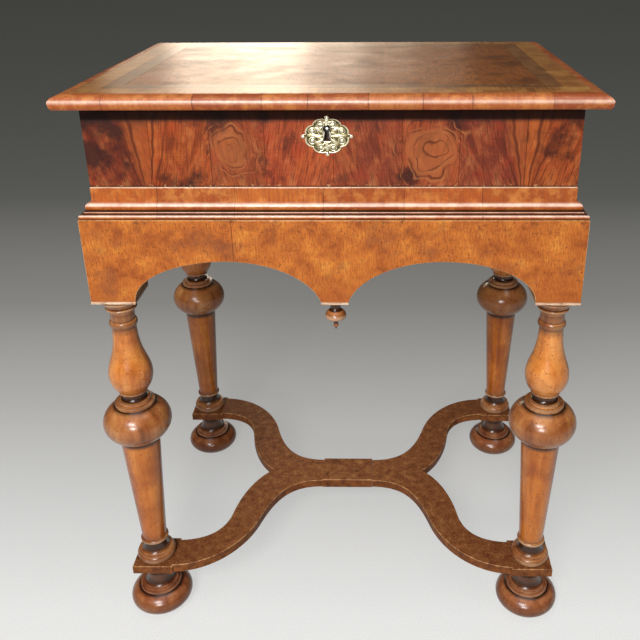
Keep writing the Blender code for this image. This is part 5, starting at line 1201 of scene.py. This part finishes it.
# Matt paper off a roll: an even grey at each distance, painted darker further back as painted shade, with
# a faint speckle of fibres 2 mm across.
paper_grey, tree, shader = begin_material("matt_backdrop_paper", 0.9, 0.0)
shader.inputs["Specular IOR Level"].default_value = 0.1
place = add(tree, "TexCoord", out="Object")
away = add(tree, "SeparateXYZ", {0: place}, "Y")
away = add(tree, "MapRange", {0: away, 1: -0.5, 2: 3.5})
fibre = add(tree, "TexNoise", {"Vector": place, "Scale": 1 / (2 * MM), "Detail": 2})
grey = add(tree, "ValToRGB", {"Fac": away}, stops=[
    (0.0, "#F4F4F2"), (0.07, "#EEEEEC"), (0.13, "#D8D8D6"), (0.21, "#B8B7B4"), (0.33, "#8E8D89"),
    (0.55, "#62625E"), (1.0, "#3E3E3B")])
speckled = add(tree, "ValToRGB", {"Fac": fibre}, stops=[(0.3, "#F2F2F2"), (0.7, "#FFFFFF")])
grey = add(tree, "Mix", {0: 1.0, 6: grey, 7: speckled}, 2, data_type="RGBA", blend_type="MULTIPLY")
dull = add(tree, "Mix", {0: 0.75, 6: grey, 7: linear("#000000")}, 2, data_type="RGBA")
tree.links.new(dull, shader.inputs["Base Color"])
tree.links.new(grey, shader.inputs["Emission Color"])
rays = add(tree, "LightPath").node.outputs
seen = add(tree, "Math", {0: rays["Is Camera Ray"], 1: rays["Is Glossy Ray"]}, operation="MAXIMUM")
seen = add(tree, "Math", {0: seen, 1: PAPER_GLOW}, operation="MULTIPLY")
tree.links.new(seen, shader.inputs["Emission Strength"])
paper.data.materials.append(paper_grey)


# Studio light: a soft box by the camera, a lower one in front, a wide one overhead, and a row of six panels
# behind that show in the polished lid. The world adds an even fill.
def soft_box(name, place, target, wide, tall, power, tint):
    bpy.ops.object.light_add(type="AREA", location=place)
    lamp = bpy.context.object
    lamp.name = name
    lamp.data.shape = "RECTANGLE"
    lamp.data.size = wide
    lamp.data.size_y = tall
    lamp.data.energy = power
    lamp.data.color = linear(tint)[:3]
    lamp.rotation_euler = (Vector(target) - Vector(place)).to_track_quat("-Z", "Y").to_euler()


soft_box("soft_box_by_the_camera", (-0.5, -2.1, 2.05), (0, 0, 0.45), 0.9, 0.4, 46, "#FFFFFF")
soft_box("soft_box_lower_in_front", (-0.25, -2.4, 1.25), (0, 0, 0.4), 0.6, 0.3, 32, "#FFFFFF")
soft_box("soft_box_overhead", (0.1, -0.5, 2.6), (0, 0, 0.4), 2.0, 1.6, 20, "#FFFFFF")
PANELS = [(-0.98, 0.30, 0.5), (-0.68, 0.30, 1.9), (-0.40, 0.26, 2.0), (-0.15, 0.24, 0.8), (0.08, 0.22, 0.3)]
PANELS += [(0.30, 0.22, 0.12)]
for number, (aside, wide, power) in enumerate(PANELS):
    soft_box("panel_behind_" + str(number), (aside, 2.3, 1.15), (aside * 0.24, 0, 0.77), wide, 0.4, power,
             "#FFEBD2")
world = bpy.data.worlds.new("even_fill")
world.use_nodes = True
world.node_tree.nodes["Background"].inputs["Color"].default_value = linear("#F2F2F2")
world.node_tree.nodes["Background"].inputs["Strength"].default_value = 0.025
bpy.context.scene.world = world

# The camera stands a little above the lid, close in front, and looks down at the stand at the angle of the
# picture. The lens is shifted, so that the box and its feet fill the frame as they do there.
CAMERA_PLACE = Vector((0.0574, -1.0531, 0.932))
PITCH = 0.4025
YAW = -0.0171
ROLL = -0.0057
LENS = 43.23
SHIFT = (-0.078, -0.1)
forward = Vector((math.sin(YAW) * math.cos(PITCH), math.cos(YAW) * math.cos(PITCH), -math.sin(PITCH)))
level = Vector((math.cos(YAW), -math.sin(YAW), 0))
upright = level.cross(forward)
right = math.cos(ROLL) * level + math.sin(ROLL) * upright
above = math.cos(ROLL) * upright - math.sin(ROLL) * level
bpy.ops.object.camera_add()
camera = bpy.context.object
camera.matrix_world = Matrix((right, above, -forward)).transposed().to_4x4()
camera.location = CAMERA_PLACE
camera.data.lens = LENS
camera.data.shift_x = SHIFT[0]
camera.data.shift_y = SHIFT[1]
camera.data.clip_start = 0.05
bpy.context.scene.camera = camera
bpy.context.scene.view_settings.view_transform = "Standard"
